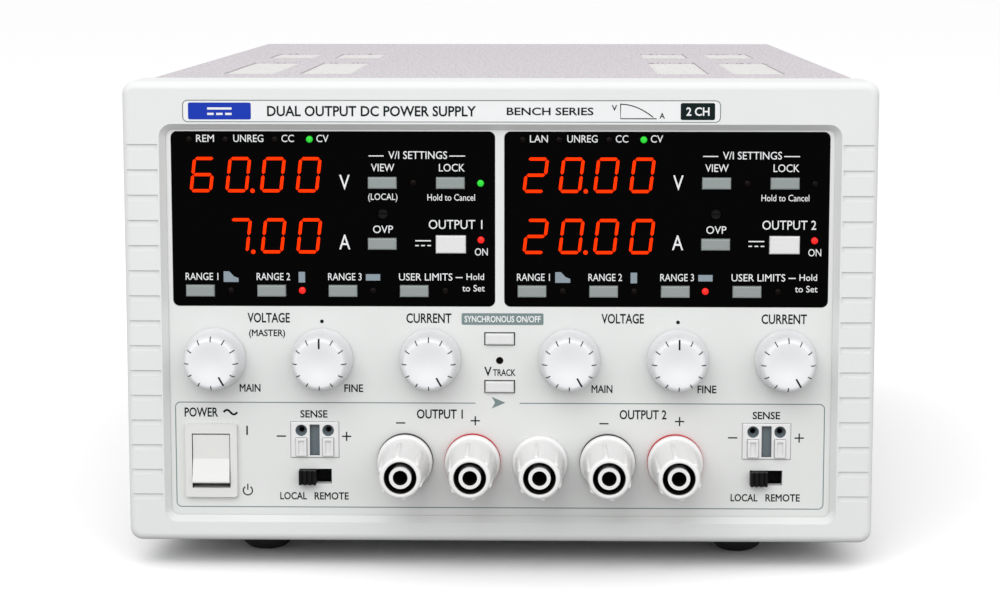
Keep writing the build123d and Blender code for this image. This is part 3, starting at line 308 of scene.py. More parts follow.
@dataclass
class Shape:
    """Gathers solids, placed from the front, into one mesh in metres.

    Across is X and up is Z. Depth is Y, so that smaller is nearer the front. Places are in metres.
    The widths of lines, the sizes of letters and the profiles of turned solids are in millimetres.
    """

    parts: bmesh.types.BMesh = field(default_factory=bmesh.new)

    def take(self, mesh: bpy.types.Mesh, matrix: Matrix | None = None) -> None:
        """Add a mesh's faces, moved by a matrix, and delete the mesh."""
        if matrix is not None:
            mesh.transform(matrix)
        self.parts.from_mesh(mesh)
        bpy.data.meshes.remove(mesh)

    def slab(self, outline: Sequence[Point], back: float, front: float) -> None:
        """Add a flat solid.

        Args:
            outline: Its corners in metres, in order.
            back: Y of its back face.
            front: Y of its front face.
        """
        rear = [self.parts.verts.new((x, back, z)) for x, z in outline]
        face = [self.parts.verts.new((x, front, z)) for x, z in outline]
        made = [self.parts.faces.new(face), self.parts.faces.new(rear[::-1])]
        for i in range(len(outline)):
            j = (i + 1) % len(outline)
            made.append(self.parts.faces.new((face[j], face[i], rear[i], rear[j])))
        bmesh.ops.recalc_face_normals(self.parts, faces=made)

    def ink(self, outline: Sequence[Point], face_y: float) -> None:
        """Add a printed area, as thick as ink, on a face."""
        self.slab(outline, face_y, face_y - INK_T)

    def lathe(self, centre: Point, face_y: float, profile: Sequence[Point], steps: int = 64) -> None:
        """Add a solid turned about a line along Y.

        Args:
            centre: Where the line crosses the front, in metres.
            face_y: Y that the profile's heights are counted from.
            profile: Radius and height towards the front, in millimetres, round the solid.
            steps: Number of segments round.
        """
        rings = []
        for radius, height in profile:
            y = face_y - height * MM
            if radius == 0.0:
                rings.append([self.parts.verts.new((centre[0], y, centre[1]))])
                continue
            ring = circle(centre, radius * MM, steps)
            rings.append([self.parts.verts.new((x, y, z)) for x, z in ring])
        made = []
        closed = len(rings[0]) > 1 and len(rings[-1]) > 1
        pairs = list(zip(rings, rings[1:])) + ([(rings[-1], rings[0])] if closed else [])
        for low, high in pairs:
            for i in range(steps):
                j = (i + 1) % steps
                corners = [low[i % len(low)], low[j % len(low)], high[j % len(high)], high[i % len(high)]]
                made.append(self.parts.faces.new(list(dict.fromkeys(corners))))
        bmesh.ops.recalc_face_normals(self.parts, faces=made)

    def block(self, low: Sequence[float], high: Sequence[float], bevel: float = 0.0) -> None:
        """Add a box between two corners in metres, with its edges rounded by bevel."""
        size = Vector(high) - Vector(low)
        place = Matrix.Translation((Vector(high) + Vector(low)) / 2) @ Matrix.Diagonal((*size, 1.0))
        made = bmesh.ops.create_cube(self.parts, size=1.0, matrix=place)
        if bevel > 0:
            edges = list({edge for vert in made["verts"] for edge in vert.link_edges})
            bmesh.ops.bevel(self.parts, geom=edges, offset=bevel, segments=2, profile=0.5,
                            affect="EDGES")

    def line(self, points: Sequence[Point], width: float, face_y: float) -> None:
        """Add a printed line along points in metres, with square ends.

        Args:
            points: The places it goes through.
            width: Its width in millimetres.
            face_y: Y of the face that it is printed on.
        """
        half = width * MM / 2
        left, right = [], []
        for i, (x, z) in enumerate(points):
            before, after = points[max(i - 1, 0)], points[min(i + 1, len(points) - 1)]
            along = Vector((after[0] - before[0], after[1] - before[1])).normalized()
            left.append((x - along.y * half, z + along.x * half))
            right.append((x + along.y * half, z - along.x * half))
        self.ink(left + right[::-1], face_y)

    def text(self, words: str, centre: Point, width: float, cap: float, face_y: float,
             weight: float = 0.018, behind: bool = False) -> None:
        """Add lettering of a given width and capital height, standing on a face.

        Args:
            words: What it says.
            centre: Middle of its capitals, in metres.
            width: Its whole width in millimetres.
            cap: Height of its capitals in millimetres.
            face_y: Y of the face that it is printed on.
            weight: How much each stroke is thickened, as a share of the letter size.
            behind: True if it is read from behind the object.
        """
        curve = bpy.data.curves.new("words", "FONT")
        curve.body = words
        curve.bevel_depth = weight
        curve.bevel_resolution = 0
        curve.resolution_u = 3
        curve.extrude = 0.5
        mesh = mesh_of(curve)
        xs = [v.co.x for v in mesh.vertices]
        mid = (max(xs) + min(xs)) / 2
        sized = Matrix.Diagonal((width * MM / (max(xs) - min(xs)), cap * MM / capital_height(), INK_T, 1.0))
        settled = Matrix.Translation((-mid, -capital_height() / 2, 0.5))
        turn = Matrix.Rotation(math.pi / 2, 4, "X")
        if behind:
            turn = Matrix.Rotation(math.pi, 4, "Z") @ turn
        place = Matrix.Translation((centre[0], face_y, centre[1]))
        self.take(mesh, place @ turn @ sized @ settled)

    def piece(self, name: str, finish: Finish, body: str = CASE, crisp: float = 35.0) -> bpy.types.Object:
        """Close the shape and hand it over as a piece that rides on a body.

        Args:
            name: The piece's name.
            finish: Its material.
            body: The body that it moves with.
            crisp: Edges sharper than this many degrees stay crisp.

        Returns:
            The piece's object.
        """
        bmesh.ops.remove_doubles(self.parts, verts=self.parts.verts, dist=WELD)
        mesh = finished_mesh(name, self.parts)
        mesh.materials.clear()
        mesh.materials.append(finish.material())
        mesh.polygons.foreach_set("material_index", [0] * len(mesh.polygons))
        smooth_by_angle(mesh, crisp)
        return place_piece(name, mesh, body)

    def print_as(self, name: str, finish: Finish) -> None:
        """Close the shape and hand it over as print on the case."""
        self.piece(name, finish, crisp=PRINT_CRISP)


def linked(name: str, data: bpy.types.ID) -> bpy.types.Object:
    """Make an object at the origin and link it to the scene."""
    made = bpy.data.objects.new(name, data)
    bpy.context.scene.collection.objects.link(made)
    return made


def settled_mesh(carrier: bpy.types.Object) -> bpy.types.Mesh:
    """Plain mesh of an object as its modifiers leave it."""
    graph = bpy.context.evaluated_depsgraph_get()
    return bpy.data.meshes.new_from_object(carrier.evaluated_get(graph))


def mesh_of(curve: bpy.types.Curve) -> bpy.types.Mesh:
    """Turn a curve or text into a plain mesh and delete it."""
    carrier = linked("carrier", curve)
    mesh = settled_mesh(carrier)
    bpy.data.objects.remove(carrier)
    bpy.data.curves.remove(curve)
    return mesh


@cache
def capital_height() -> float:
    """Height of a capital in the built-in letters at size 1."""
    curve = bpy.data.curves.new("capital", "FONT")
    curve.body = "H"
    mesh = mesh_of(curve)
    height = max(v.co.y for v in mesh.vertices)
    bpy.data.meshes.remove(mesh)
    return height


def place_piece(name: str, mesh: bpy.types.Mesh, body: str) -> bpy.types.Object:
    """Link a finished mesh as an object at the origin and let it ride on a body."""
    piece = linked(name, mesh)
    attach(piece, body)
    log.info("%s: %d faces on %s", name, len(mesh.polygons), body)
    return piece


def dress(node: str, finish: Finish) -> None:
    """Give a frame node one finish all over."""
    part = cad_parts[node]
    part.data.materials.clear()
    part.data.materials.append(finish.material())
    log.info("%s: %s", node, finish.name)


# ---------------------------------------------------------------- repeated shapes


class Recipe(NodeSheet):
    """A geometry node tree with named inputs, applied to a mesh and then taken off."""

    def __init__(self, name: str, inputs: dict[str, str]) -> None:
        """Start a tree.

        Args:
            name: The tree's name.
            inputs: Name of each size it takes, and the type of its socket.
        """
        self.tree = bpy.data.node_groups.new(name, "GeometryNodeTree")
        sockets = self.tree.interface
        sockets.new_socket("Geometry", in_out="INPUT", socket_type="NodeSocketGeometry")
        sockets.new_socket("Geometry", in_out="OUTPUT", socket_type="NodeSocketGeometry")
        self.names = {}
        for key, kind in {**inputs, "Material": "NodeSocketMaterial"}.items():
            self.names[key] = sockets.new_socket(key, in_out="INPUT", socket_type=kind).identifier
        self.given = self.tree.nodes.new("NodeGroupInput").outputs
        self.result = self.tree.nodes.new("NodeGroupOutput").inputs[0]

    def maths(self, operation: str, first: object, second: object) -> bpy.types.NodeSocket:
        """Add one sum and return its result."""
        return self.add("ShaderNodeMath", {0: first, 1: second}, operation=operation).outputs[0]

    def close(self, geometry: bpy.types.NodeSocket) -> None:
        """End the tree: real geometry with the given material."""
        real = self.add("GeometryNodeRealizeInstances", {"Geometry": geometry})
        painted = self.add("GeometryNodeSetMaterial", {
            "Geometry": real.outputs[0], "Material": self.given["Material"]})
        self.feed(self.result, painted.outputs[0])

    def apply(self, unit: bpy.types.Mesh, finish: Finish, values: dict[str, object]) -> bpy.types.Mesh:
        """Run the tree on a unit shape.

        Args:
            unit: The shape that it repeats.
            finish: Material of the result.
            values: Value of each named input.

        Returns:
            The result as a plain mesh.
        """
        carrier = linked("carrier", unit)
        nodes = carrier.modifiers.new("repeat", "NODES")
        nodes.node_group = self.tree
        for key, value in {**values, "Material": finish.material()}.items():
            nodes[self.names[key]] = value
        mesh = settled_mesh(carrier)
        carrier.modifiers.remove(nodes)
        bpy.data.objects.remove(carrier)
        bpy.data.meshes.remove(unit)
        return mesh


def round_axis_recipe() -> Recipe:
    """Tree that repeats a shape round a line along Y through a given place."""
    recipe = Recipe("round_an_axis", {
        "Count": "NodeSocketInt", "First": "NodeSocketFloat", "Step": "NodeSocketFloat",
        "Centre": "NodeSocketVector"})
    points = recipe.add("GeometryNodeMeshLine", {"Count": recipe.given["Count"], "Offset": (0, 0, 0)})
    index = recipe.add("GeometryNodeInputIndex").outputs[0]
    turn = recipe.maths("MULTIPLY", index, recipe.given["Step"])
    turn = recipe.maths("ADD", turn, recipe.given["First"])
    angles = recipe.add("ShaderNodeCombineXYZ", {"Y": turn})
    copies = recipe.add("GeometryNodeInstanceOnPoints", {
        "Points": points.outputs[0], "Instance": recipe.given["Geometry"],
        "Rotation": angles.outputs[0]})
    moved = recipe.add("GeometryNodeTransform", {
        "Geometry": copies.outputs[0], "Translation": recipe.given["Centre"]})
    recipe.close(moved.outputs[0])
    return recipe


def perforated_recipe() -> Recipe:
    """Tree that lays a holed cell on a grid, joins the cells and gives the sheet its thickness."""
    recipe = Recipe("perforated_sheet", {
        "Columns": "NodeSocketInt", "Rows": "NodeSocketInt", "Width": "NodeSocketFloat",
        "Length": "NodeSocketFloat", "Thickness": "NodeSocketFloat", "Centre": "NodeSocketVector"})
    grid = recipe.add("GeometryNodeMeshGrid", {
        "Size X": recipe.given["Width"], "Size Y": recipe.given["Length"],
        "Vertices X": recipe.given["Columns"], "Vertices Y": recipe.given["Rows"]})
    cells = recipe.add("GeometryNodeInstanceOnPoints", {
        "Points": grid.outputs[0], "Instance": recipe.given["Geometry"]})
    real = recipe.add("GeometryNodeRealizeInstances", {"Geometry": cells.outputs[0]})
    joined = recipe.add("GeometryNodeMergeByDistance", {
        "Geometry": real.outputs[0], "Distance": 0.01 * MM})
    raised = recipe.add("GeometryNodeExtrudeMesh", {
        "Mesh": joined.outputs[0], "Offset Scale": recipe.given["Thickness"], "Individual": False})
    under = recipe.add("GeometryNodeFlipFaces", {"Mesh": joined.outputs[0]})
    both = recipe.add("GeometryNodeJoinGeometry")
    for sheet in (raised, under):
        recipe.feed(both.inputs[0], sheet.outputs[0])
    closed = recipe.add("GeometryNodeMergeByDistance", {
        "Geometry": both.outputs[0], "Distance": 0.01 * MM})
    moved = recipe.add("GeometryNodeTransform", {
        "Geometry": closed.outputs[0], "Translation": recipe.given["Centre"]})
    recipe.close(moved.outputs[0])
    return recipe


# ---------------------------------------------------------------- the studio


@dataclass
class Studio:
    """Floor, lights and camera."""

    eye: tuple[float, float, float] = (0.015475, -0.871812, 0.171494)
    down: float = 7.634
    left: float = 1.230
    lens: float = 92.83
    floor_size: float = 30.0
    floor_white: float = 0.98
    floor_bounce: float = 0.4
    key_energy: float = 14.0
    fill_energy: float = 7.6
    top_energy: float = 0.6
    sky: float = 1.0

    def build(self) -> None:
        """Make the floor, the lights, the sky and the camera."""
        self._floor()
        self._lights()
        self._camera()
        bpy.context.scene.view_settings.view_transform = "Standard"

    def _floor(self) -> None:
        """Lay the plain floor."""
        mesh = bpy.data.meshes.new("studio_floor")
        half = self.floor_size / 2
        corners = [(-half, -half, 0), (half, -half, 0), (half, half, 0), (-half, half, 0)]
        mesh.from_pydata(corners, [], [(0, 1, 2, 3)])
        mesh.materials.append(self._floor_look())
        linked("studio_floor", mesh)

    def _floor_look(self) -> bpy.types.Material:
        """White where the camera sees it, and grey where it throws light back at the object."""
        sheet = ShaderSheet("look_floor")
        seen = sheet.add("ShaderNodeLightPath").outputs["Is Camera Ray"]
        level = sheet.add("ShaderNodeMapRange", {
            "Value": seen, "To Min": self.floor_bounce, "To Max": self.floor_white})
        sheet.feed(sheet.shader.inputs["Base Color"], level.outputs[0])
        sheet.shader.inputs["Roughness"].default_value = 1.0
        sheet.shader.inputs["Specular IOR Level"].default_value = 0.0
        return sheet.material

    def _lights(self) -> None:
        """Hang three soft lamps under a white sky."""
        lamps = (
            ("key", self.key_energy, 1.3, (-0.45, -1.55, 1.15)),
            ("fill", self.fill_energy, 1.6, (0.7, -1.6, 1.0)),
            ("top", self.top_energy, 1.8, (0.1, 0.35, 1.6)),
        )
        target = Vector((0.0, -0.05, 0.06))
        for name, energy, size, place in lamps:
            lamp = bpy.data.lights.new(name, "AREA")
            lamp.energy = energy
            lamp.size = size
            holder = linked(name, lamp)
            holder.location = place
            holder.rotation_euler = (target - Vector(place)).to_track_quat("-Z", "Y").to_euler()
        self._sky()

    def _sky(self) -> None:
        """Make an even white sky."""
        world = bpy.data.worlds.new("sky")
        world.use_nodes = True
        sky = world.node_tree.nodes["Background"]
        sky.inputs["Color"].default_value = (1.0, 1.0, 1.0, 1.0)
        sky.inputs["Strength"].default_value = self.sky
        bpy.context.scene.world = world

    def _camera(self) -> None:
        """Place the camera."""
        data = bpy.data.cameras.new("camera")
        data.lens = self.lens
        data.sensor_width = 36.0
        data.clip_start = 0.05
        data.clip_end = 60.0
        camera = linked("camera", data)
        camera.location = self.eye
        camera.rotation_euler = (math.radians(90 - self.down), 0.0, math.radians(self.left))
        bpy.context.scene.camera = camera


# ---------------------------------------------------------------- places on the front


@dataclass
class Face:
    """Where the flat faces of the front stand: depths from the frame, heights from the feet up."""

    feet: float = 8.0 * MM
    panel_y: float = 0.0
    window_y: float = 0.0
    strip_y: float = 0.0
    window_x: float = 46.55 * MM
    window_sink: float = 0.15 * MM
    strip_deep: float = 0.4 * MM

    def __post_init__(self) -> None:
        """Read the faces' depths from the frame."""
        self.panel_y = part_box("display_windows")[0].y - self.window_sink
        self.window_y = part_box("display_windows")[0].y
        self.strip_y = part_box("front_bezel")[0].y + self.strip_deep

    def at(self, x: float, height: float) -> Point:
        """Place across and up, in metres, of millimetres above the bezel's bottom edge."""
        return (x * MM, self.feet + height * MM)

    def in_window(self, unit: int, u: float, height: float) -> Point:
        """Place in a display window, from across its middle in millimetres."""
        side = -1 if unit == 1 else 1
        return (side * self.window_x + u * MM, self.feet + height * MM)


# ---------------------------------------------------------------- display windows


@dataclass
class Reading:
    """What one channel shows."""

    volts: str
    amps: str
    lit: dict[str, bool]


@dataclass
class DisplayWindow:
    """One black window: its digits, lamps and lettering."""

    unit: int
    reading: Reading
    face: Face
    digit_x: tuple[float, ...] = (-36.5, -26.5, -16.8, -6.8)
    rows: tuple[float, float] = (103.9, 86.75)
    digit_w: float = 6.3
    digit_h: float = 9.9
    segment: float = 0.88
    gap: float = 0.17
    slant: float = 0.12
    point_u: float = -22.55
    point_drop: float = 4.5
    point_r: float = 0.62
    lamp_r: float = 0.95
    lamp_t: float = 0.5
    lamp_lift: float = 0.1
    lamp_dome: float = 0.45
    line_t: float = 0.28
    sign_t: float = 0.33
    words_nudge: Point = (0.2, 0.25)
    words_weight: float = 0.002
    segments: dict[str, str] = field(default_factory=lambda: {
        "0": "abcdef", "2": "abged", "6": "afgedc", "7": "abc", " ": ""})
    lamps: dict[str, Point] = field(default_factory=lambda: {
        "remote": (-40.15, 113.8), "unreg": (-30.0, 113.8), "cc": (-16.2, 113.8),
        "cv": (-6.5, 113.8), "view": (22.4, 101.7), "lock": (41.2, 101.6), "on": (41.3, 85.7),
        "range_1": (-28.9, 71.35), "range_2": (-8.9, 71.35), "range_3": (11.0, 71.35),
        "limits": (31.3, 71.35)})

    def build(self) -> None:
        """Make everything that shows in this window."""
        self._digits()
        self._lamps()
        self._prints()
        self._symbols()

    def _at(self, u: float, height: float) -> Point:
        """Place in this window, in metres, from millimetres across its middle and up."""
        return self.face.in_window(self.unit, u, height)

    def _segment(self, shape: Shape, centre: Point, bar: str) -> None:
        """Add one six-cornered bar of a digit, leaning with it."""
        w, h, t, gap = self.digit_w / 2, self.digit_h / 2, self.segment / 2, self.gap
        w, h = w - t, h - t
        ends = {
            "a": ((-w, h), (w, h)), "g": ((-w, 0.0), (w, 0.0)), "d": ((-w, -h), (w, -h)),
            "f": ((-w, h), (-w, 0.0)), "b": ((w, h), (w, 0.0)),
            "e": ((-w, 0.0), (-w, -h)), "c": ((w, 0.0), (w, -h)),
        }
        (x0, z0), (x1, z1) = ends[bar]
        if x0 == x1:
            z0, z1 = z0 - gap, z1 + gap
            outline = [(x0, z0), (x0 - t, z0 - t), (x0 - t, z1 + t), (x0, z1), (x0 + t, z1 + t),
                       (x0 + t, z0 - t)]
        else:
            x0, x1 = x0 + gap, x1 - gap
            outline = [(x0, z0), (x0 + t, z0 + t), (x1 - t, z0 + t), (x1, z0), (x1 - t, z0 - t),
                       (x0 + t, z0 - t)]
        placed = [(centre[0] + (x + z * self.slant) * MM, centre[1] + z * MM) for x, z in outline]
        shape.ink(placed, self.face.window_y)

    def _digits(self) -> None:
        """Light the two readings."""
        shape = Shape()
        for row, words in zip(self.rows, (self.reading.volts, self.reading.amps)):
            for u, sign in zip(self.digit_x, words):
                for bar in self.segments[sign]:
                    self._segment(shape, self._at(u, row), bar)
            point = self._at(self.point_u, row - self.point_drop)
            shape.ink(circle(point, self.point_r * MM), self.face.window_y)
        shape.print_as(f"digits_{self.unit}", DIGIT_RED)

    def _lamps(self) -> None:
        """Set a clear domed lens in front of each lamp."""
        lenses = {LAMP_OFF: Shape(), LAMP_RED: Shape(), LAMP_GREEN: Shape()}
        for name, (u, height) in self.lamps.items():
            finish = LAMP_OFF
            if self.reading.lit.get(name):
                finish = LAMP_RED if name == "on" or name.startswith("range") else LAMP_GREEN
            r, t, top = self.lamp_r, self.lamp_t, self.lamp_dome
            dome = [(0.0, -t), (r, -t), (r, 0.0)]
            dome += [(r * math.cos(a), top * math.sin(a)) for a in (0.35, 0.75, 1.15)]
            lenses[finish].lathe(self._at(u, height), self.face.window_y - self.lamp_lift * MM,
                                 [*dome, (0.0, top)], 32)
        for finish, shape in lenses.items():
            shape.piece(f"{finish.name}_{self.unit}", finish)

    def _prints(self) -> None:
        """Print the window's words."""
        shape = Shape()
        first = "REM" if self.unit == 1 else "LAN"
        words = [
            (first, -35.85, 113.8, 5.0, 2.0), ("UNREG", -23.75, 113.8, 8.4, 2.0),
            ("CC", -12.75, 113.8, 3.5, 2.0), ("CV", -3.05, 113.8, 3.4, 2.0),
            ("V/I SETTINGS", 23.5, 109.2, 16.4, 2.1), ("VIEW", 13.7, 105.7, 6.5, 2.1),
            ("LOCK", 33.0, 105.7, 7.2, 2.1), ("Hold to Cancel", 32.8, 97.4, 13.3, 1.8),
            ("OVP", 13.7, 88.4, 5.6, 2.1), (f"OUTPUT {self.unit}", 34.0, 89.8, 15.0, 2.5),
            ("ON", 41.2, 82.1, 3.6, 2.0), ("V", 3.0, 101.6, 2.9, 4.1), ("A", 2.95, 84.8, 3.1, 4.1),
            ("RANGE 1", -37.3, 75.0, 9.2, 2.0), ("RANGE 2", -17.2, 75.0, 9.4, 2.0),
            ("RANGE 3", 2.9, 75.0, 9.4, 2.0), ("USER LIMITS", 25.6, 75.0, 15.0, 2.0),
            ("Hold", 39.5, 75.1, 4.9, 1.8), ("to Set", 39.0, 71.85, 6.3, 1.8),
        ]
        if self.unit == 1:
            words.append(("(LOCAL)", 13.7, 97.55, 8.2, 1.8))
        for text, u, height, width, cap in words:
            place = self._at(u + self.words_nudge[0], height + self.words_nudge[1])
            shape.text(text, place, width, cap, self.face.window_y, weight=self.words_weight)
        for start, stop, height in ((10.0, 14.2, 109.2), (32.5, 36.9, 109.2), (34.2, 36.2, 75.1)):
            ends = [self._at(u, height) for u in (start, stop)]
            shape.line(ends, self.line_t, self.face.window_y)
        self._current_sign(shape)
        shape.print_as(f"window_words_{self.unit}", INK_WHITE)

    def _symbols(self) -> None:
        """Print the range symbols in slate."""
        shape = Shape()
        marks = (
            [(-31.0, 73.7), (-26.8, 73.7), (-26.8, 74.8), (-28.1, 75.3), (-29.4, 76.7), (-31.0, 76.7)],
            [(-9.9, 73.6), (-8.1, 73.6), (-8.1, 76.6), (-9.9, 76.6)],
            [(9.0, 74.2), (13.0, 74.2), (13.0, 76.0), (9.0, 76.0)],
        )
        for outline in marks:
            shape.ink([self._at(u, h) for u, h in outline], self.face.window_y)
        shape.print_as(f"window_symbols_{self.unit}", INK_SLATE)

    def _current_sign(self, shape: Shape) -> None:
        """Add the direct-current sign: a line over three dashes."""
        strokes = [(22.9, 27.3, 85.45), (22.9, 23.9, 84.1), (24.6, 25.6, 84.1), (26.3, 27.3, 84.1)]
        for start, stop, height in strokes:
            ends = [self._at(u, height) for u in (start, stop)]
            shape.line(ends, self.sign_t, self.face.window_y)


# ---------------------------------------------------------------- lettering on the panel


@dataclass
class PanelLettering:
    """Words, lines and signs printed on the lower half of the front panel."""

    face: Face
    line_t: float = 0.27
    sign_t: float = 0.38
    frame_low: float = 9.4
    frame_high: float = 39.45
    frame_left: float = -91.7
    frame_right: float = 91.4
    frame_gap: Point = (-6.8, 5.6)
    frame_r: float = 1.4
    words: tuple[tuple[str, float, float, float, float], ...] = (
        ("VOLTAGE", -65.0, 63.6, 11.9, 2.6), ("(MASTER)", -65.5, 59.3, 10.2, 1.8),
        ("CURRENT", -19.9, 63.6, 12.7, 2.6), ("MAIN", -70.5, 43.6, 5.9, 2.1),
        ("FINE", -41.2, 43.6, 5.3, 2.1), ("VOLTAGE", 34.5, 63.6, 11.9, 2.6),
        ("CURRENT", 79.7, 63.6, 12.7, 2.6), ("MAIN", 28.8, 43.6, 5.9, 2.1),
        ("FINE", 58.3, 43.6, 5.3, 2.1), ("POWER", -84.4, 36.6, 9.5, 2.5),
        ("OUTPUT 1", -16.9, 36.3, 13.0, 2.5), ("OUTPUT 2", 40.4, 36.3, 13.2, 2.5),
        ("SENSE", -52.5, 36.2, 7.7, 2.0), ("SENSE", 75.1, 36.2, 7.7, 2.0),
        ("LOCAL", -58.5, 12.6, 7.6, 2.0), ("REMOTE", -47.7, 12.6, 9.7, 2.0),
        ("LOCAL", 69.1, 12.6, 7.6, 2.0), ("REMOTE", 80.0, 12.6, 9.7, 2.0),
        ("V", -3.3, 48.5, 2.1, 2.5), ("TRACK", 1.3, 48.2, 6.4, 1.8), ("I", -71.5, 31.4, 0.45, 2.5),
    )
    minus_places: tuple[Point, ...] = ((-28.0, 33.7), (29.4, 33.7), (-61.8, 29.8), (65.7, 29.8))
    plus_places: tuple[Point, ...] = ((-6.9, 34.4), (50.7, 34.4), (-43.3, 29.8), (84.4, 29.8))
    sign_w: float = 2.6
    dot_places: tuple[Point, ...] = ((-50.0, 62.6), (50.0, 62.6))
    dot_r: float = 0.53
    wave_start: Point = (-78.1, 36.6)
    wave_size: Point = (3.9, 0.65)
    wave_t: float = 0.58
    wave_steps: int = 16
    standby: Point = (-71.5, 14.1)
    standby_r: float = 1.3
    standby_t: float = 0.35
    arrow: tuple[Point, ...] = ((-2.3, 41.3), (1.6, 39.6), (-2.3, 37.9), (-1.3, 39.6))
    badge: tuple[float, float, float, float] = (0.8, 63.4, 23.0, 3.3)

    def build(self) -> None:
        """Print it all."""
        self._words()
        self._lines()
        self._badge()

    def _line(self, shape: Shape, points: Sequence[Point], width: float) -> None:
        """Add one printed line through places in millimetres."""
        shape.line([self.face.at(*point) for point in points], width, self.face.panel_y)

    def _words(self) -> None:
        """Print the dark words and signs."""
        shape = Shape()
        for text, x, height, width, cap in self.words:
            shape.text(text, self.face.at(x, height), width, cap, self.face.panel_y)
        half, gap = self.sign_w / 2, self.sign_t / 2
        for x, z in (*self.minus_places, *self.plus_places):
            self._line(shape, [(x - half, z), (x + half, z)], self.sign_t)
        for x, z in self.plus_places:
            self._line(shape, [(x, z - half), (x, z - gap)], self.sign_t)
            self._line(shape, [(x, z + gap), (x, z + half)], self.sign_t)
        for place in self.dot_places:
            shape.ink(circle(self.face.at(*place), self.dot_r * MM), self.face.panel_y)
        self._power_signs(shape)
        shape.print_as("panel_words", INK_DARK)

    def _power_signs(self, shape: Shape) -> None:
        """Add the mains wave beside its word and the standby sign beside the rocker's lower end."""
        (x, z), (length, rise) = self.wave_start, self.wave_size
        turns = [i / self.wave_steps for i in range(self.wave_steps + 1)]
        wave = [(x + length * t, z + rise * math.sin(2 * math.pi * t)) for t in turns]
        self._line(shape, wave, self.wave_t)
        x, z = self.standby
        self._line(shape, arc((x, z), self.standby_r, 125, 415, 28), self.standby_t)
        self._line(shape, [(x, z + 0.2), (x, z + 1.9)], self.standby_t)

    def _lines(self) -> None:
        """Print the frame round the terminals and the arrow between the channels."""
        shape = Shape()
        r = self.frame_r
        left, right = self.frame_left, self.frame_right
        low, high = self.frame_low, self.frame_high
        path = [(self.frame_gap[0], high), *arc((left + r, high - r), r, 90, 180, 6),
                *arc((left + r, low + r), r, 180, 270, 6), *arc((right - r, low + r), r, 270, 360, 6),
                *arc((right - r, high - r), r, 0, 90, 6), (self.frame_gap[1], high)]
        self._line(shape, path, self.line_t)
        shape.ink([self.face.at(*p) for p in self.arrow], self.face.panel_y)
        shape.print_as("panel_lines", INK_TEAL)

    def _badge(self) -> None:
        """Print the light words on their dark bar between the channels."""
        x, z, width, height = self.badge
        bar = Shape()
        bar.ink(rounded(self.face.at(x, z), width * MM, height * MM, 0.4 * MM), self.face.panel_y)
        bar.print_as("sync_bar", INK_TEAL)
        words = Shape()
        words.text("SYNCHRONOUS ON/OFF", self.face.at(x, z), 0.93 * width, 1.7,
                   self.face.panel_y - INK_T, weight=0.02)
        words.print_as("sync_words", PLATE_WHITE)


# ---------------------------------------------------------------- name strip


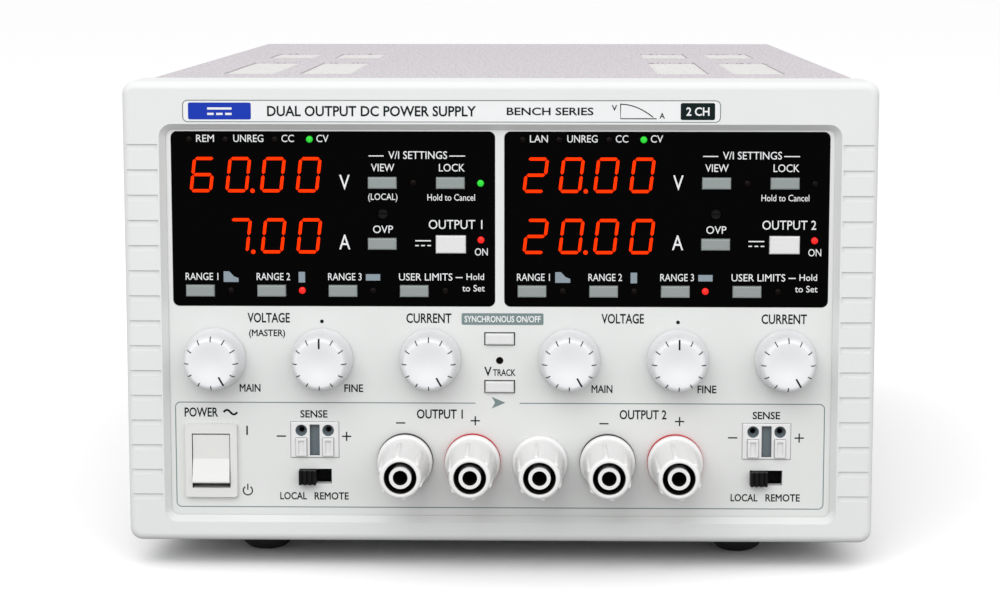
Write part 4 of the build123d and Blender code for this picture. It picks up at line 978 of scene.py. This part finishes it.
@dataclass
class NameStrip:
    """The plate in its recess above the windows."""

    face: Face
    left: float = -88.1
    right: float = 61.2
    low: float = 118.7
    high: float = 124.9
    corner: float = 1.5
    plate_t: float = 0.25
    block_w: float = 17.5
    end_block_w: float = 9.5
    block_inset: float = 1.6
    block_trim: float = 1.5
    block_r: float = 0.5
    sign_t: float = 0.6
    curve_t: float = 0.28
    rim: float = 0.25

    def build(self) -> None:
        """Make the plate and everything on it."""
        mid = ((self.left + self.right) / 2, (self.low + self.high) / 2)
        size = (self.right - self.left, self.high - self.low)
        back = self.face.strip_y
        front = back - self.plate_t * MM
        border = Shape()
        border.slab(rounded(self.face.at(*mid), (size[0] - 0.1) * MM, (size[1] - 0.1) * MM,
                            self.corner * MM), back, front + 0.05 * MM)
        border.piece("name_strip_border", INK_TEAL)
        plate = Shape()
        plate.slab(rounded(self.face.at(*mid), (size[0] - 2 * self.rim) * MM,
                           (size[1] - 2 * self.rim) * MM, (self.corner - self.rim) * MM),
                   back - 0.1 * MM, front)
        plate.piece("name_strip_plate", PLATE_WHITE)
        self._blocks(front)
        self._words(front)

    def _blocks(self, face_y: float) -> None:
        """Add the blue block and the dark end block, with their signs."""
        mid_z = (self.low + self.high) / 2
        x = self.left + self.block_inset + self.block_w / 2
        end_x = self.right - self.block_inset - self.end_block_w / 2
        self._block("name_strip_block", INK_BLUE, (x, mid_z), self.block_w, face_y)
        sign = Shape()
        on_block = face_y - INK_T
        for start, stop, rise in ((-3.4, 3.4, 0.7), (-3.4, -1.6, -0.8), (-0.9, 0.9, -0.8), (1.6, 3.4, -0.8)):
            ends = [self.face.at(x + u, mid_z + rise) for u in (start, stop)]
            sign.line(ends, self.sign_t, on_block)
        sign.text("2 CH", self.face.at(end_x, mid_z), 6.4, 2.2, on_block, weight=0.02)
        sign.print_as("name_strip_signs", PLATE_WHITE)
        self._block("name_strip_end", INK_DARK, (end_x, mid_z), self.end_block_w, face_y)

    def _block(self, name: str, finish: Finish, centre: Point, width: float, face_y: float) -> None:
        """Print one block on the plate.

        Args:
            name: The piece's name.
            finish: Its material.
            centre: Its middle, in millimetres across and above the bezel's bottom edge.
            width: Its width in millimetres.
            face_y: Y of the plate's face.
        """
        tall = self.high - self.low - self.block_trim
        block = Shape()
        block.ink(rounded(self.face.at(*centre), width * MM, tall * MM, self.block_r * MM), face_y)
        block.print_as(name, finish)

    def _words(self, face_y: float) -> None:
        """Print what the object is, and a small curve of volts against amps."""
        mid_z = (self.low + self.high) / 2
        shape = Shape()
        shape.text("DUAL OUTPUT DC POWER SUPPLY", self.face.at(-35.5, mid_z), 58.0, 2.7, face_y,
                   weight=0.02)
        shape.text("BENCH SERIES", self.face.at(14.0, mid_z), 24.0, 2.0, face_y)
        curve = [(33.5 + 9.0 * t, mid_z + 2.0 - 3.6 * t ** 2) for t in (i / 12 for i in range(13))]
        axes = [(33.5, mid_z + 2.2), (33.5, mid_z - 2.0), (43.5, mid_z - 2.0)]
        for path in (curve, axes):
            shape.line([self.face.at(*p) for p in path], self.curve_t, face_y)
        shape.text("V", self.face.at(31.8, mid_z + 1.0), 1.5, 1.5, face_y)
        shape.text("A", self.face.at(45.0, mid_z - 1.2), 1.5, 1.5, face_y)
        shape.print_as("name_strip_words", INK_DARK)


# ---------------------------------------------------------------- knobs


@dataclass
class Knobs:
    """Six turning knobs: smooth turned shells, with fine lines and one pointer line."""

    face: Face
    round_axis: Recipe
    names: tuple[str, ...] = ("main_knob_1", "fine_knob_1", "current_knob_1", "main_knob_2",
                              "fine_knob_2", "current_knob_2")
    bore_r: float = 3.05
    bore_end: float = 8.0
    base_r: float = 8.65
    lift: float = 0.4
    height: float = 10.6
    face_r: float = 6.3
    dish: float = 0.75
    shoulder: Point = (7.75, 7.4)
    ticks: int = 11
    tick_step: float = 30.0
    tick_reach: Point = (6.15, 7.55)
    tick_w: float = 0.28
    pointer_reach: Point = (4.3, 7.1)
    pointer_w: float = 0.5
    upper_stop: float = 150.0

    def build(self) -> None:
        """Make every knob and its lines, each on its own body."""
        for name in self.names:
            centre = middle(name)
            shell = Shape()
            shell.lathe((centre.x, centre.z), self.face.panel_y, self._profile(), FINE_ROUND)
            knob = shell.piece(f"{name}_shell", KNOB_WHITE, name, crisp=50.0)
            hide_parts(name)
            turn = 0.0 if name.startswith("fine") else self.upper_stop
            self._lines(name, centre, turn)

    def _profile(self) -> list[Point]:
        """Radius and height round the knob's outside, down its bore and back."""
        points = [(self.bore_r, self.lift), (self.base_r - 0.25, self.lift), (self.base_r, self.lift + 0.25),
                  (self.base_r, 1.45), (self.base_r - 0.12, 1.75), (8.2, 4.5)]
        steps = 14
        for i in range(steps + 1):
            t = i / steps * math.pi / 2
            points.append((self.face_r + (self.shoulder[0] - self.face_r) * math.cos(t),
                           self.shoulder[1] + (self.height - self.shoulder[1]) * math.sin(t)))
        points += [(radius, self._surface(radius)) for radius in (6.0, 5.5, 5.0, 4.2, 3.4, 2.4, 1.2, 0.0)]
        return [(0.0, self.bore_end), (self.bore_r, self.bore_end), *points]

    def _lines(self, name: str, centre: Vector, turn: float) -> None:
        """Add the dark lines on the shoulder and the pointer line."""
        tick = self._tick(self.tick_reach, self.tick_w)
        start = math.radians(turn + self.tick_step)
        values = {"Count": self.ticks, "First": start, "Step": math.radians(self.tick_step),
                  "Centre": (centre.x, self.face.panel_y, centre.z)}
        mesh = self.round_axis.apply(tick, INK_DARK, values)
        place_piece(f"{name}_lines", mesh, name)
        pointer = self._tick(self.pointer_reach, self.pointer_w)
        values = {**values, "Count": 1, "First": math.radians(turn)}
        place_piece(f"{name}_pointer", self.round_axis.apply(pointer, INK_DARK, values), name)

    def _surface(self, radius: float) -> float:
        """Height of the knob's outside at a radius."""
        if radius <= self.face_r:
            return self.height - self.dish * (1 - (radius / self.face_r) ** 2) ** 2
        share = (radius - self.face_r) / (self.shoulder[0] - self.face_r)
        return self.shoulder[1] + (self.height - self.shoulder[1]) * math.sqrt(max(1 - share ** 2, 0.0))

    def _tick(self, reach: Point, width: float) -> bpy.types.Mesh:
        """Make one thin line that follows the outside, at twelve o'clock round the origin."""
        inner, outer = reach
        parts = bmesh.new()
        steps = 16
        rows = []
        for i in range(steps + 1):
            radius = inner + (outer - inner) * i / steps
            y = -self._surface(radius) * MM
            rows.append([parts.verts.new((x * width / 2 * MM, y - lift * MM, radius * MM))
                         for lift in (0.03, -0.15) for x in (-1, 1)])
        for low, high in zip(rows, rows[1:]):
            for i, j in ((0, 1), (1, 3), (3, 2), (2, 0)):
                parts.faces.new((low[i], low[j], high[j], high[i]))
        parts.faces.new([rows[0][i] for i in (0, 2, 3, 1)])
        parts.faces.new([rows[-1][i] for i in (0, 1, 3, 2)])
        bmesh.ops.recalc_face_normals(parts, faces=parts.faces)
        return finished_mesh("tick", parts)


# ---------------------------------------------------------------- output terminals


@dataclass
class Terminals:
    """Five binding posts: smooth screw caps with grip fins, near-black sleeves of painted shade inside the
    caps, and coloured rings.
    """

    face: Face
    round_axis: Recipe
    count: int = 5
    bore_r: float = 3.15
    skirt: float = 1.35
    flange_r: float = 7.8
    flange_h: float = 3.3
    neck_r: float = 6.9
    front_r: float = 5.8
    mouth_r: float = 4.5
    height: float = 25.5
    floor: float = 9.0
    fins: int = 6
    fin_turn: float = -9.0
    fin_w: float = 1.3
    fin_reach: float = 6.25
    fin_low: float = 8.2
    fin_taper: float = 0.55
    post_bore_r: float = 2.1

    def build(self) -> None:
        """Make the caps with their fins and near-black liners of painted shade, and paint the posts and
        rings.
        """
        for number in range(1, self.count + 1):
            name = f"terminal_cap_{number}"
            centre = middle(name)
            place = (centre.x, centre.z)
            shell = Shape()
            shell.lathe(place, self.face.panel_y, self._profile(), FINE_ROUND)
            cap = shell.piece(f"{name}_shell", CAP_WHITE, name, crisp=40.0)
            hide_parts(name)
            self._fins(name, centre)
            # Near-black sleeve over the walls and floor inside the cap's mouth: painted shade.
            shade_liner = Shape()
            wall, deep, lip = self.mouth_r - 0.02, self.floor + 0.02, self.height - 0.9
            shade_liner.lathe(place, self.face.panel_y, [
                (self.bore_r, deep), (self.bore_r, deep + 0.2), (wall - 0.15, deep + 0.2),
                (wall - 0.15, lip), (wall, lip), (wall, deep)])
            shade_liner.piece(f"{name}_liner", HOLLOW_SHADE, name)
        self._rings()
        self._posts()

    def _profile(self) -> list[Point]:
        """Radius and height round the cap's wall."""
        flange, top = self.flange_r, self.height
        points = [(self.bore_r, self.skirt), (flange - 0.5, self.skirt)]
        points += [(flange - 0.55 + 0.55 * math.sin(t), self.skirt + 0.55 - 0.55 * math.cos(t))
                   for t in (0.4, 0.8, 1.2, 1.57)]
        points += [(flange - 0.6 + 0.6 * math.cos(t), self.flange_h - 0.6 + 0.6 * math.sin(t))
                   for t in (0.0, 0.3, 0.6, 0.9, 1.2, 1.5)]
        points += [(self.neck_r + 0.12, self.flange_h + 0.12), (self.neck_r - 0.1, self.flange_h + 0.55),
                   (6.65, 7.2), (6.25, 15.0), (self.front_r, top - 1.1)]
        edge = 0.9
        points += [(self.front_r - edge + edge * math.cos(t), top - edge + edge * math.sin(t))
                   for t in (0.2, 0.5, 0.8, 1.1, 1.4)]
        points += [(self.mouth_r + 0.25, top), (self.mouth_r + 0.05, top - 0.08),
                   (self.mouth_r, top - 0.3), (self.mouth_r, self.floor), (self.bore_r, self.floor)]
        return points

    def _fins(self, name: str, centre: Vector) -> None:
        """Repeat one grip fin round the cap."""
        fin = Shape()
        half = self.fin_w / 2 * MM
        fin.block((-half, -(self.height - 0.7) * MM, (self.front_r - 0.7) * MM),
                  (half, -self.fin_low * MM, self.fin_reach * MM), bevel=0.3 * MM)
        span = (self.height - self.fin_low) * MM
        for corner in fin.parts.verts:
            corner.co.z += self.fin_taper * MM * (1 + (corner.co.y + self.fin_low * MM) / span)
        values = {"Count": self.fins, "First": math.radians(self.fin_turn),
                  "Step": 2 * math.pi / self.fins,
                  "Centre": (centre.x, self.face.panel_y, centre.z)}
        solid = self.round_axis.apply(finished_mesh("fin", fin.parts), CAP_WHITE, values)
        smooth_by_angle(solid, 50.0)
        place_piece(f"{name}_fins", solid, name)

    def _rings(self) -> None:
        """Colour the rings black, red, white, black and red."""
        places = sorted(middle(f"terminal_cap_{n}").x for n in range(1, self.count + 1))
        colours = (BLACK_RING, RED_RING, CAP_WHITE, BLACK_RING, RED_RING)

        def pick(spot: Vector, normal: Vector) -> Finish:
            """Choose a ring's finish from its place."""
            nearest = min(range(self.count), key=lambda i: abs(places[i] - spot.x))
            return colours[nearest]

        paint("terminal_collars", pick)

    def _posts(self) -> None:
        """Make the posts white, with painted shade in their bores."""
        places = [middle(f"terminal_cap_{n}") for n in range(1, self.count + 1)]

        def pick(spot: Vector, normal: Vector) -> Finish:
            """Choose the finish of one place on a post."""
            off = min(math.hypot(spot.x - p.x, spot.z - p.z) for p in places)
            # Bore walls and floor are near-black: painted shade.
            inside = off < self.post_bore_r * MM and abs(normal.y) < 0.5
            return HOLLOW_SHADE if inside or off < 0.9 * self.post_bore_r * MM else CAP_WHITE

        paint("terminal_posts", pick)


def paint(node: str, pick: Callable[[Vector, Vector], Finish]) -> None:
    """Give each face of a frame node the finish that a rule picks for it.

    Args:
        node: The frame node.
        pick: Takes a face's middle and normal, and returns its finish.
    """
    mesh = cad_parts[node].data
    mesh.materials.clear()
    order: dict[Finish, int] = {}
    for face in mesh.polygons:
        finish = pick(face.center, face.normal)
        if finish not in order:
            order[finish] = len(order)
            mesh.materials.append(finish.material())
        face.material_index = order[finish]
    log.info("%s: %s", node, ", ".join(finish.name for finish in order))


# ---------------------------------------------------------------- sense clamps and switches


@dataclass
class SenseBlocks:
    """The two sense clamps with their levers, and the slide switches under them."""

    face: Face
    funnel_r: float = 1.7
    wire_r: float = 0.72
    pitch: float = 7.6
    funnel_rise: float = 2.75
    groove_half: float = 1.42
    lever_half_w: float = 1.68
    lever_drop: float = 2.0
    lever_half_h: float = 2.73
    end_to_middle: float = 6.8
    slot_depth: float = 2.0

    def build(self) -> None:
        """Paint the housings, levers and sliders."""
        low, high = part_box("sense_housings")
        mid_z = (low.z + high.z) / 2
        half = (high.x - low.x) / 2 - self.end_to_middle * MM
        mids = [(low.x + high.x) / 2 + side * half for side in (-1, 1)]
        paint("sense_housings", lambda spot, normal: self._pick(spot, normal, mids, mid_z))
        for unit in (1, 2):
            for pole in ("minus", "plus"):
                dress(f"sense_lever_{pole}_{unit}", SENSE_WHITE)
            dress(f"sense_slider_{unit}", SWITCH_BLACK)

    def _pick(self, spot: Vector, normal: Vector, mids: Sequence[float], mid_z: float) -> Finish:
        """Choose the finish of one place on a housing."""
        x = min((spot.x - mid for mid in mids), key=abs) / MM
        z = (spot.z - mid_z) / MM
        off = abs(abs(x) - self.pitch / 2)
        in_front = spot.y < self.face.panel_y + self.slot_depth * MM
        proud = abs(normal.y) > 0.95 and spot.y < self.face.panel_y
        from_entry = math.hypot(off, z - self.funnel_rise)
        # The middle of each wire entry is near-black: painted shade in the hole.
        if from_entry < self.funnel_r and not proud:
            return HOLLOW_SHADE if from_entry < self.wire_r * 1.1 else SENSE_GREY
        if abs(x) < self.groove_half and in_front and not proud:
            return SENSE_GREY
        # The recess round each lever is near-black: painted shade.
        if off < self.lever_half_w and abs(z + self.lever_drop) < self.lever_half_h and not proud:
            return HOLLOW_SHADE
        return SENSE_WHITE


@dataclass
class PowerSwitch:
    """White rocker in a white frame whose well is painted near-black as shade, and the bodies of the slide
    switches.
    """

    rocker_zone: float = 12.0
    well_half_w: float = 5.45
    well_half_h: float = 7.85

    def build(self) -> None:
        """Paint the rocker and the housings."""
        dress("power_rocker", SWITCH_WHITE)
        centre = middle("power_rocker")

        def pick(spot: Vector, normal: Vector) -> Finish:
            """Choose the finish of one place: past the rocker's zone stand the slide switches."""
            x, z = abs(spot.x - centre.x) / MM, abs(spot.z - centre.z) / MM
            if x > self.rocker_zone:
                return SWITCH_BLACK
            # The well round the rocker is near-black: painted shade.
            return HOLLOW_SHADE if x < self.well_half_w and z < self.well_half_h else SWITCH_WHITE

        paint("switch_housings", pick)


# ---------------------------------------------------------------- cover, vents and the back


@dataclass
class VentScreens:
    """Eight patches of perforated sheet in the cover."""

    width: float = 15.3
    step: float = 22.85
    front_length: float = 84.8
    rear_length: float = 39.8
    columns: int = 7
    hole_r: float = 0.5
    thickness: float = 0.8
    corners: int = 12

    def build(self) -> None:
        """Lay one perforated sheet in each opening."""
        recipe = perforated_recipe()
        screens = Shape()
        low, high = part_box("vent_screens")
        for x, y, width, length in self._places(low, high):
            pitch = width / self.columns
            rows = round(length / pitch)
            values = {"Columns": self.columns, "Rows": rows, "Width": pitch * (self.columns - 1),
                      "Length": length / rows * (rows - 1), "Thickness": self.thickness * MM,
                      "Centre": (x, y, high.z - self.thickness * MM)}
            screens.take(recipe.apply(self._cell(pitch, length / rows), MESH_PAINT, values))
        sheet = screens.piece("vent_screen_sheets", MESH_PAINT, crisp=30.0)
        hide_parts("vent_screens")

    def _places(self, low: Vector, high: Vector) -> list[tuple[float, float, float, float]]:
        """Middle, width and length of each patch, in metres."""
        columns = (low.x + self.width / 2 * MM, low.x + (self.width / 2 + self.step) * MM,
                   high.x - (self.width / 2 + self.step) * MM, high.x - self.width / 2 * MM)
        rows = ((low.y, low.y + self.front_length * MM), (high.y - self.rear_length * MM, high.y))
        return [(x, (a + b) / 2, self.width * MM, b - a) for a, b in rows for x in columns]

    def _cell(self, width: float, length: float) -> bpy.types.Mesh:
        """Make one flat square of sheet with a round hole in its middle."""
        parts = bmesh.new()
        ring = [parts.verts.new((x, y, 0)) for x, y in
                circle((0.0, 0.0), self.hole_r * MM, self.corners)]
        edge = []
        for i in range(self.corners):
            t = 2 * math.pi * i / self.corners
            reach = 1 / max(abs(math.cos(t)), abs(math.sin(t)))
            edge.append(parts.verts.new((math.cos(t) * reach * width / 2,
                                         math.sin(t) * reach * length / 2, 0)))
        for i in range(self.corners):
            j = (i + 1) % self.corners
            parts.faces.new((ring[j], ring[i], edge[i], edge[j]))
        bmesh.ops.recalc_face_normals(parts, faces=parts.faces)
        return finished_mesh("cell", parts)


@dataclass
class Fan:
    """The fan's impeller, with twisted blades repeated round its hub."""

    round_axis: Recipe
    blades: int = 7
    hub_r: float = 19.0
    hub_edge: float = 2.0
    tip_r: float = 42.3
    root_chord: float = 17.0
    tip_chord: float = 22.0
    root_angle: float = 48.0
    tip_angle: float = 30.0
    blade_t: float = 1.1
    camber: float = 1.4
    hub_half: float = 8.5

    def build(self) -> None:
        """Make the hub and the blades, on the impeller's body."""
        low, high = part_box("fan_impeller")
        centre = middle("fan_housing")
        mid_y = (low.y + high.y) / 2
        deep = (high.y - low.y) / 2 / MM
        hub = Shape()
        reach = min(deep, self.hub_half)
        hub.lathe((centre.x, centre.z), mid_y, [
            (0.0, -reach), (self.hub_r, -reach), (self.hub_r, reach - self.hub_edge),
            (self.hub_r - 0.4, reach - 0.6), (self.hub_r - self.hub_edge, reach), (0.0, reach)])
        hub_piece = hub.piece("fan_hub", FAN_BLACK, "fan_impeller")
        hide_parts("fan_impeller")
        values = {"Count": self.blades, "First": 0.0, "Step": 2 * math.pi / self.blades,
                  "Centre": (centre.x, mid_y, centre.z)}
        mesh = self.round_axis.apply(self._blade(), FAN_BLACK, values)
        smooth_by_angle(mesh, 50.0)
        place_piece("fan_blades", mesh, "fan_impeller")

    def _blade(self) -> bpy.types.Mesh:
        """Make one twisted blade, standing at twelve o'clock round the origin."""
        parts = bmesh.new()
        spans, chords = 8, 10
        sheets = []
        for side in (-1, 1):
            grid = []
            for i in range(spans + 1):
                share = i / spans
                radius = self.hub_r - 0.5 + (self.tip_r - self.hub_r + 0.5) * share
                chord = self.root_chord + (self.tip_chord - self.root_chord) * share
                angle = math.radians(self.root_angle + (self.tip_angle - self.root_angle) * share)
                row = []
                for j in range(chords + 1):
                    t = j / chords - 0.5
                    camber = self.camber * (0.25 - t * t) * 4
                    round_by = t * chord * math.cos(angle) / radius
                    y = t * chord * math.sin(angle) + camber
                    thick = self.blade_t / 2 * (1 - 0.6 * abs(2 * t)) * side
                    row.append(parts.verts.new((radius * MM * math.sin(round_by), (y + thick) * MM,
                                                radius * MM * math.cos(round_by))))
                grid.append(row)
            sheets.append(grid)
        for grid in sheets:
            for i in range(spans):
                for j in range(chords):
                    parts.faces.new((grid[i][j], grid[i][j + 1], grid[i + 1][j + 1], grid[i + 1][j]))
        near, far = sheets
        rim = [(i, 0) for i in range(spans)] + [(spans, j) for j in range(chords)]
        rim += [(i, chords) for i in range(spans, 0, -1)] + [(0, j) for j in range(chords, 0, -1)]
        for (i, j), (k, m) in zip(rim, [*rim[1:], rim[0]]):
            parts.faces.new((near[i][j], near[k][m], far[k][m], far[i][j]))
        bmesh.ops.recalc_face_normals(parts, faces=parts.faces)
        return finished_mesh("blade", parts)


@dataclass
class RearWall:
    """Lettering and socket finishes at the back."""

    words: tuple[tuple[str, str, float, float], ...] = (
        ("MAINS INPUT", "mains_inlet", 20.0, 18.0), ("NETWORK", "network", 14.0, 12.0),
        ("SERIAL", "serial", 11.0, 12.0))
    cap: float = 2.4
    network_x: float = 40.0
    network_half: Point = (6.05, 4.05)
    serial_x: float = 68.0
    serial_half: Point = (4.35, 3.95)
    pins: tuple[Point, ...] = ((-7.0, -1.0), (7.0, -1.0), (0.0, 3.0))
    pin_half: Point = (1.1, 2.1)

    def build(self) -> None:
        """Print the words and paint the sockets."""
        wall_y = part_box("base_chassis")[1].y
        jacks = middle("rear_connectors")
        inlet = middle("mains_inlet")
        places = {"mains_inlet": (inlet.x, inlet.z), "network": (self.network_x * MM, jacks.z),
                  "serial": (self.serial_x * MM, jacks.z)}
        shape = Shape()
        for text, key, width, rise in self.words:
            x, z = places[key]
            shape.text(text, (x, z + rise * MM), width, self.cap, wall_y, behind=True)
        shape.print_as("rear_words", INK_DARK)
        paint("mains_inlet", lambda spot, normal: self._inlet_finish(spot, inlet))
        paint("rear_connectors", lambda spot, normal: self._jack_finish(spot, jacks, wall_y))

    def _inlet_finish(self, spot: Vector, inlet: Vector) -> Finish:
        """Steel for the three pins, black for the rest."""
        x, z = (spot.x - inlet.x) / MM, (spot.z - inlet.z) / MM
        half_w, half_h = self.pin_half
        near = any(abs(x - px) < half_w and abs(z - pz) < half_h for px, pz in self.pins)
        return SCREW_STEEL if near and spot.y > inlet.y - 6 * MM else SWITCH_BLACK

    def _jack_finish(self, spot: Vector, jacks: Vector, wall_y: float) -> Finish:
        """Plated shells, with near-black painted shade inside their mouths."""
        x, z = spot.x / MM, (spot.z - jacks.z) / MM
        mouths = ((self.network_x, self.network_half), (self.serial_x, self.serial_half))
        in_mouth = any(abs(x - at) < half_w and abs(z) < half_h for at, (half_w, half_h) in mouths)
        return HOLLOW_SHADE if in_mouth and spot.y < wall_y + 0.5 * MM else SCREW_STEEL


# ---------------------------------------------------------------- everything together


PLAIN_FINISHES: dict[str, Finish] = {
    "front_bezel": BEZEL_PLASTIC, "front_panel": PANEL_PLASTIC, "display_windows": WINDOW_BLACK,
    "display_modules": LAMP_OFF, "top_cover": COVER_PAINT, "base_chassis": CHASSIS_STEEL,
    "rubber_feet": RUBBER, "circuit_boards": BOARD_GREEN, "potentiometers": SCREW_STEEL,
    "heat_sinks": SINK_BLACK, "power_components": CORE_DARK, "fan_housing": FAN_BLACK,
    "fan_guard": GUARD_CHROME, "case_screws": SCREW_STEEL, "sync_button": KEY_WHITE,
    "track_button": KEY_WHITE,
}
WINDOW_KEYS = ("view_button", "lock_button", "ovp_button", "range_low_button", "range_mid_button",
               "range_high_button", "limits_button")
READINGS = {
    1: Reading("6000", " 700", {"cv": True, "lock": True, "on": True, "range_2": True}),
    2: Reading("2000", "2000", {"cv": True, "on": True, "range_3": True}),
}


def dress_frame() -> None:
    """Give every frame node that keeps its shape its finish."""
    for node, finish in PLAIN_FINISHES.items():
        dress(node, finish)
    for unit in READINGS:
        for key in WINDOW_KEYS:
            dress(f"{key}_{unit}", KEY_GREY)
        dress(f"output_button_{unit}", KEY_WHITE)
        dress(f"ovp_trimmer_{unit}", TRIMMER_DARK)


def main() -> None:
    """Build the studio, then the object from front to back."""
    logging.basicConfig(level=logging.INFO, format="%(name)s: %(message)s")
    face = Face()
    round_axis = round_axis_recipe()
    Studio().build()
    dress_frame()
    for unit, reading in READINGS.items():
        DisplayWindow(unit, reading, face).build()
    PanelLettering(face).build()
    NameStrip(face).build()
    Knobs(face, round_axis).build()
    Terminals(face, round_axis).build()
    SenseBlocks(face).build()
    PowerSwitch().build()
    VentScreens().build()
    Fan(round_axis).build()
    RearWall().build()


if __name__ == "__main__":
    main()
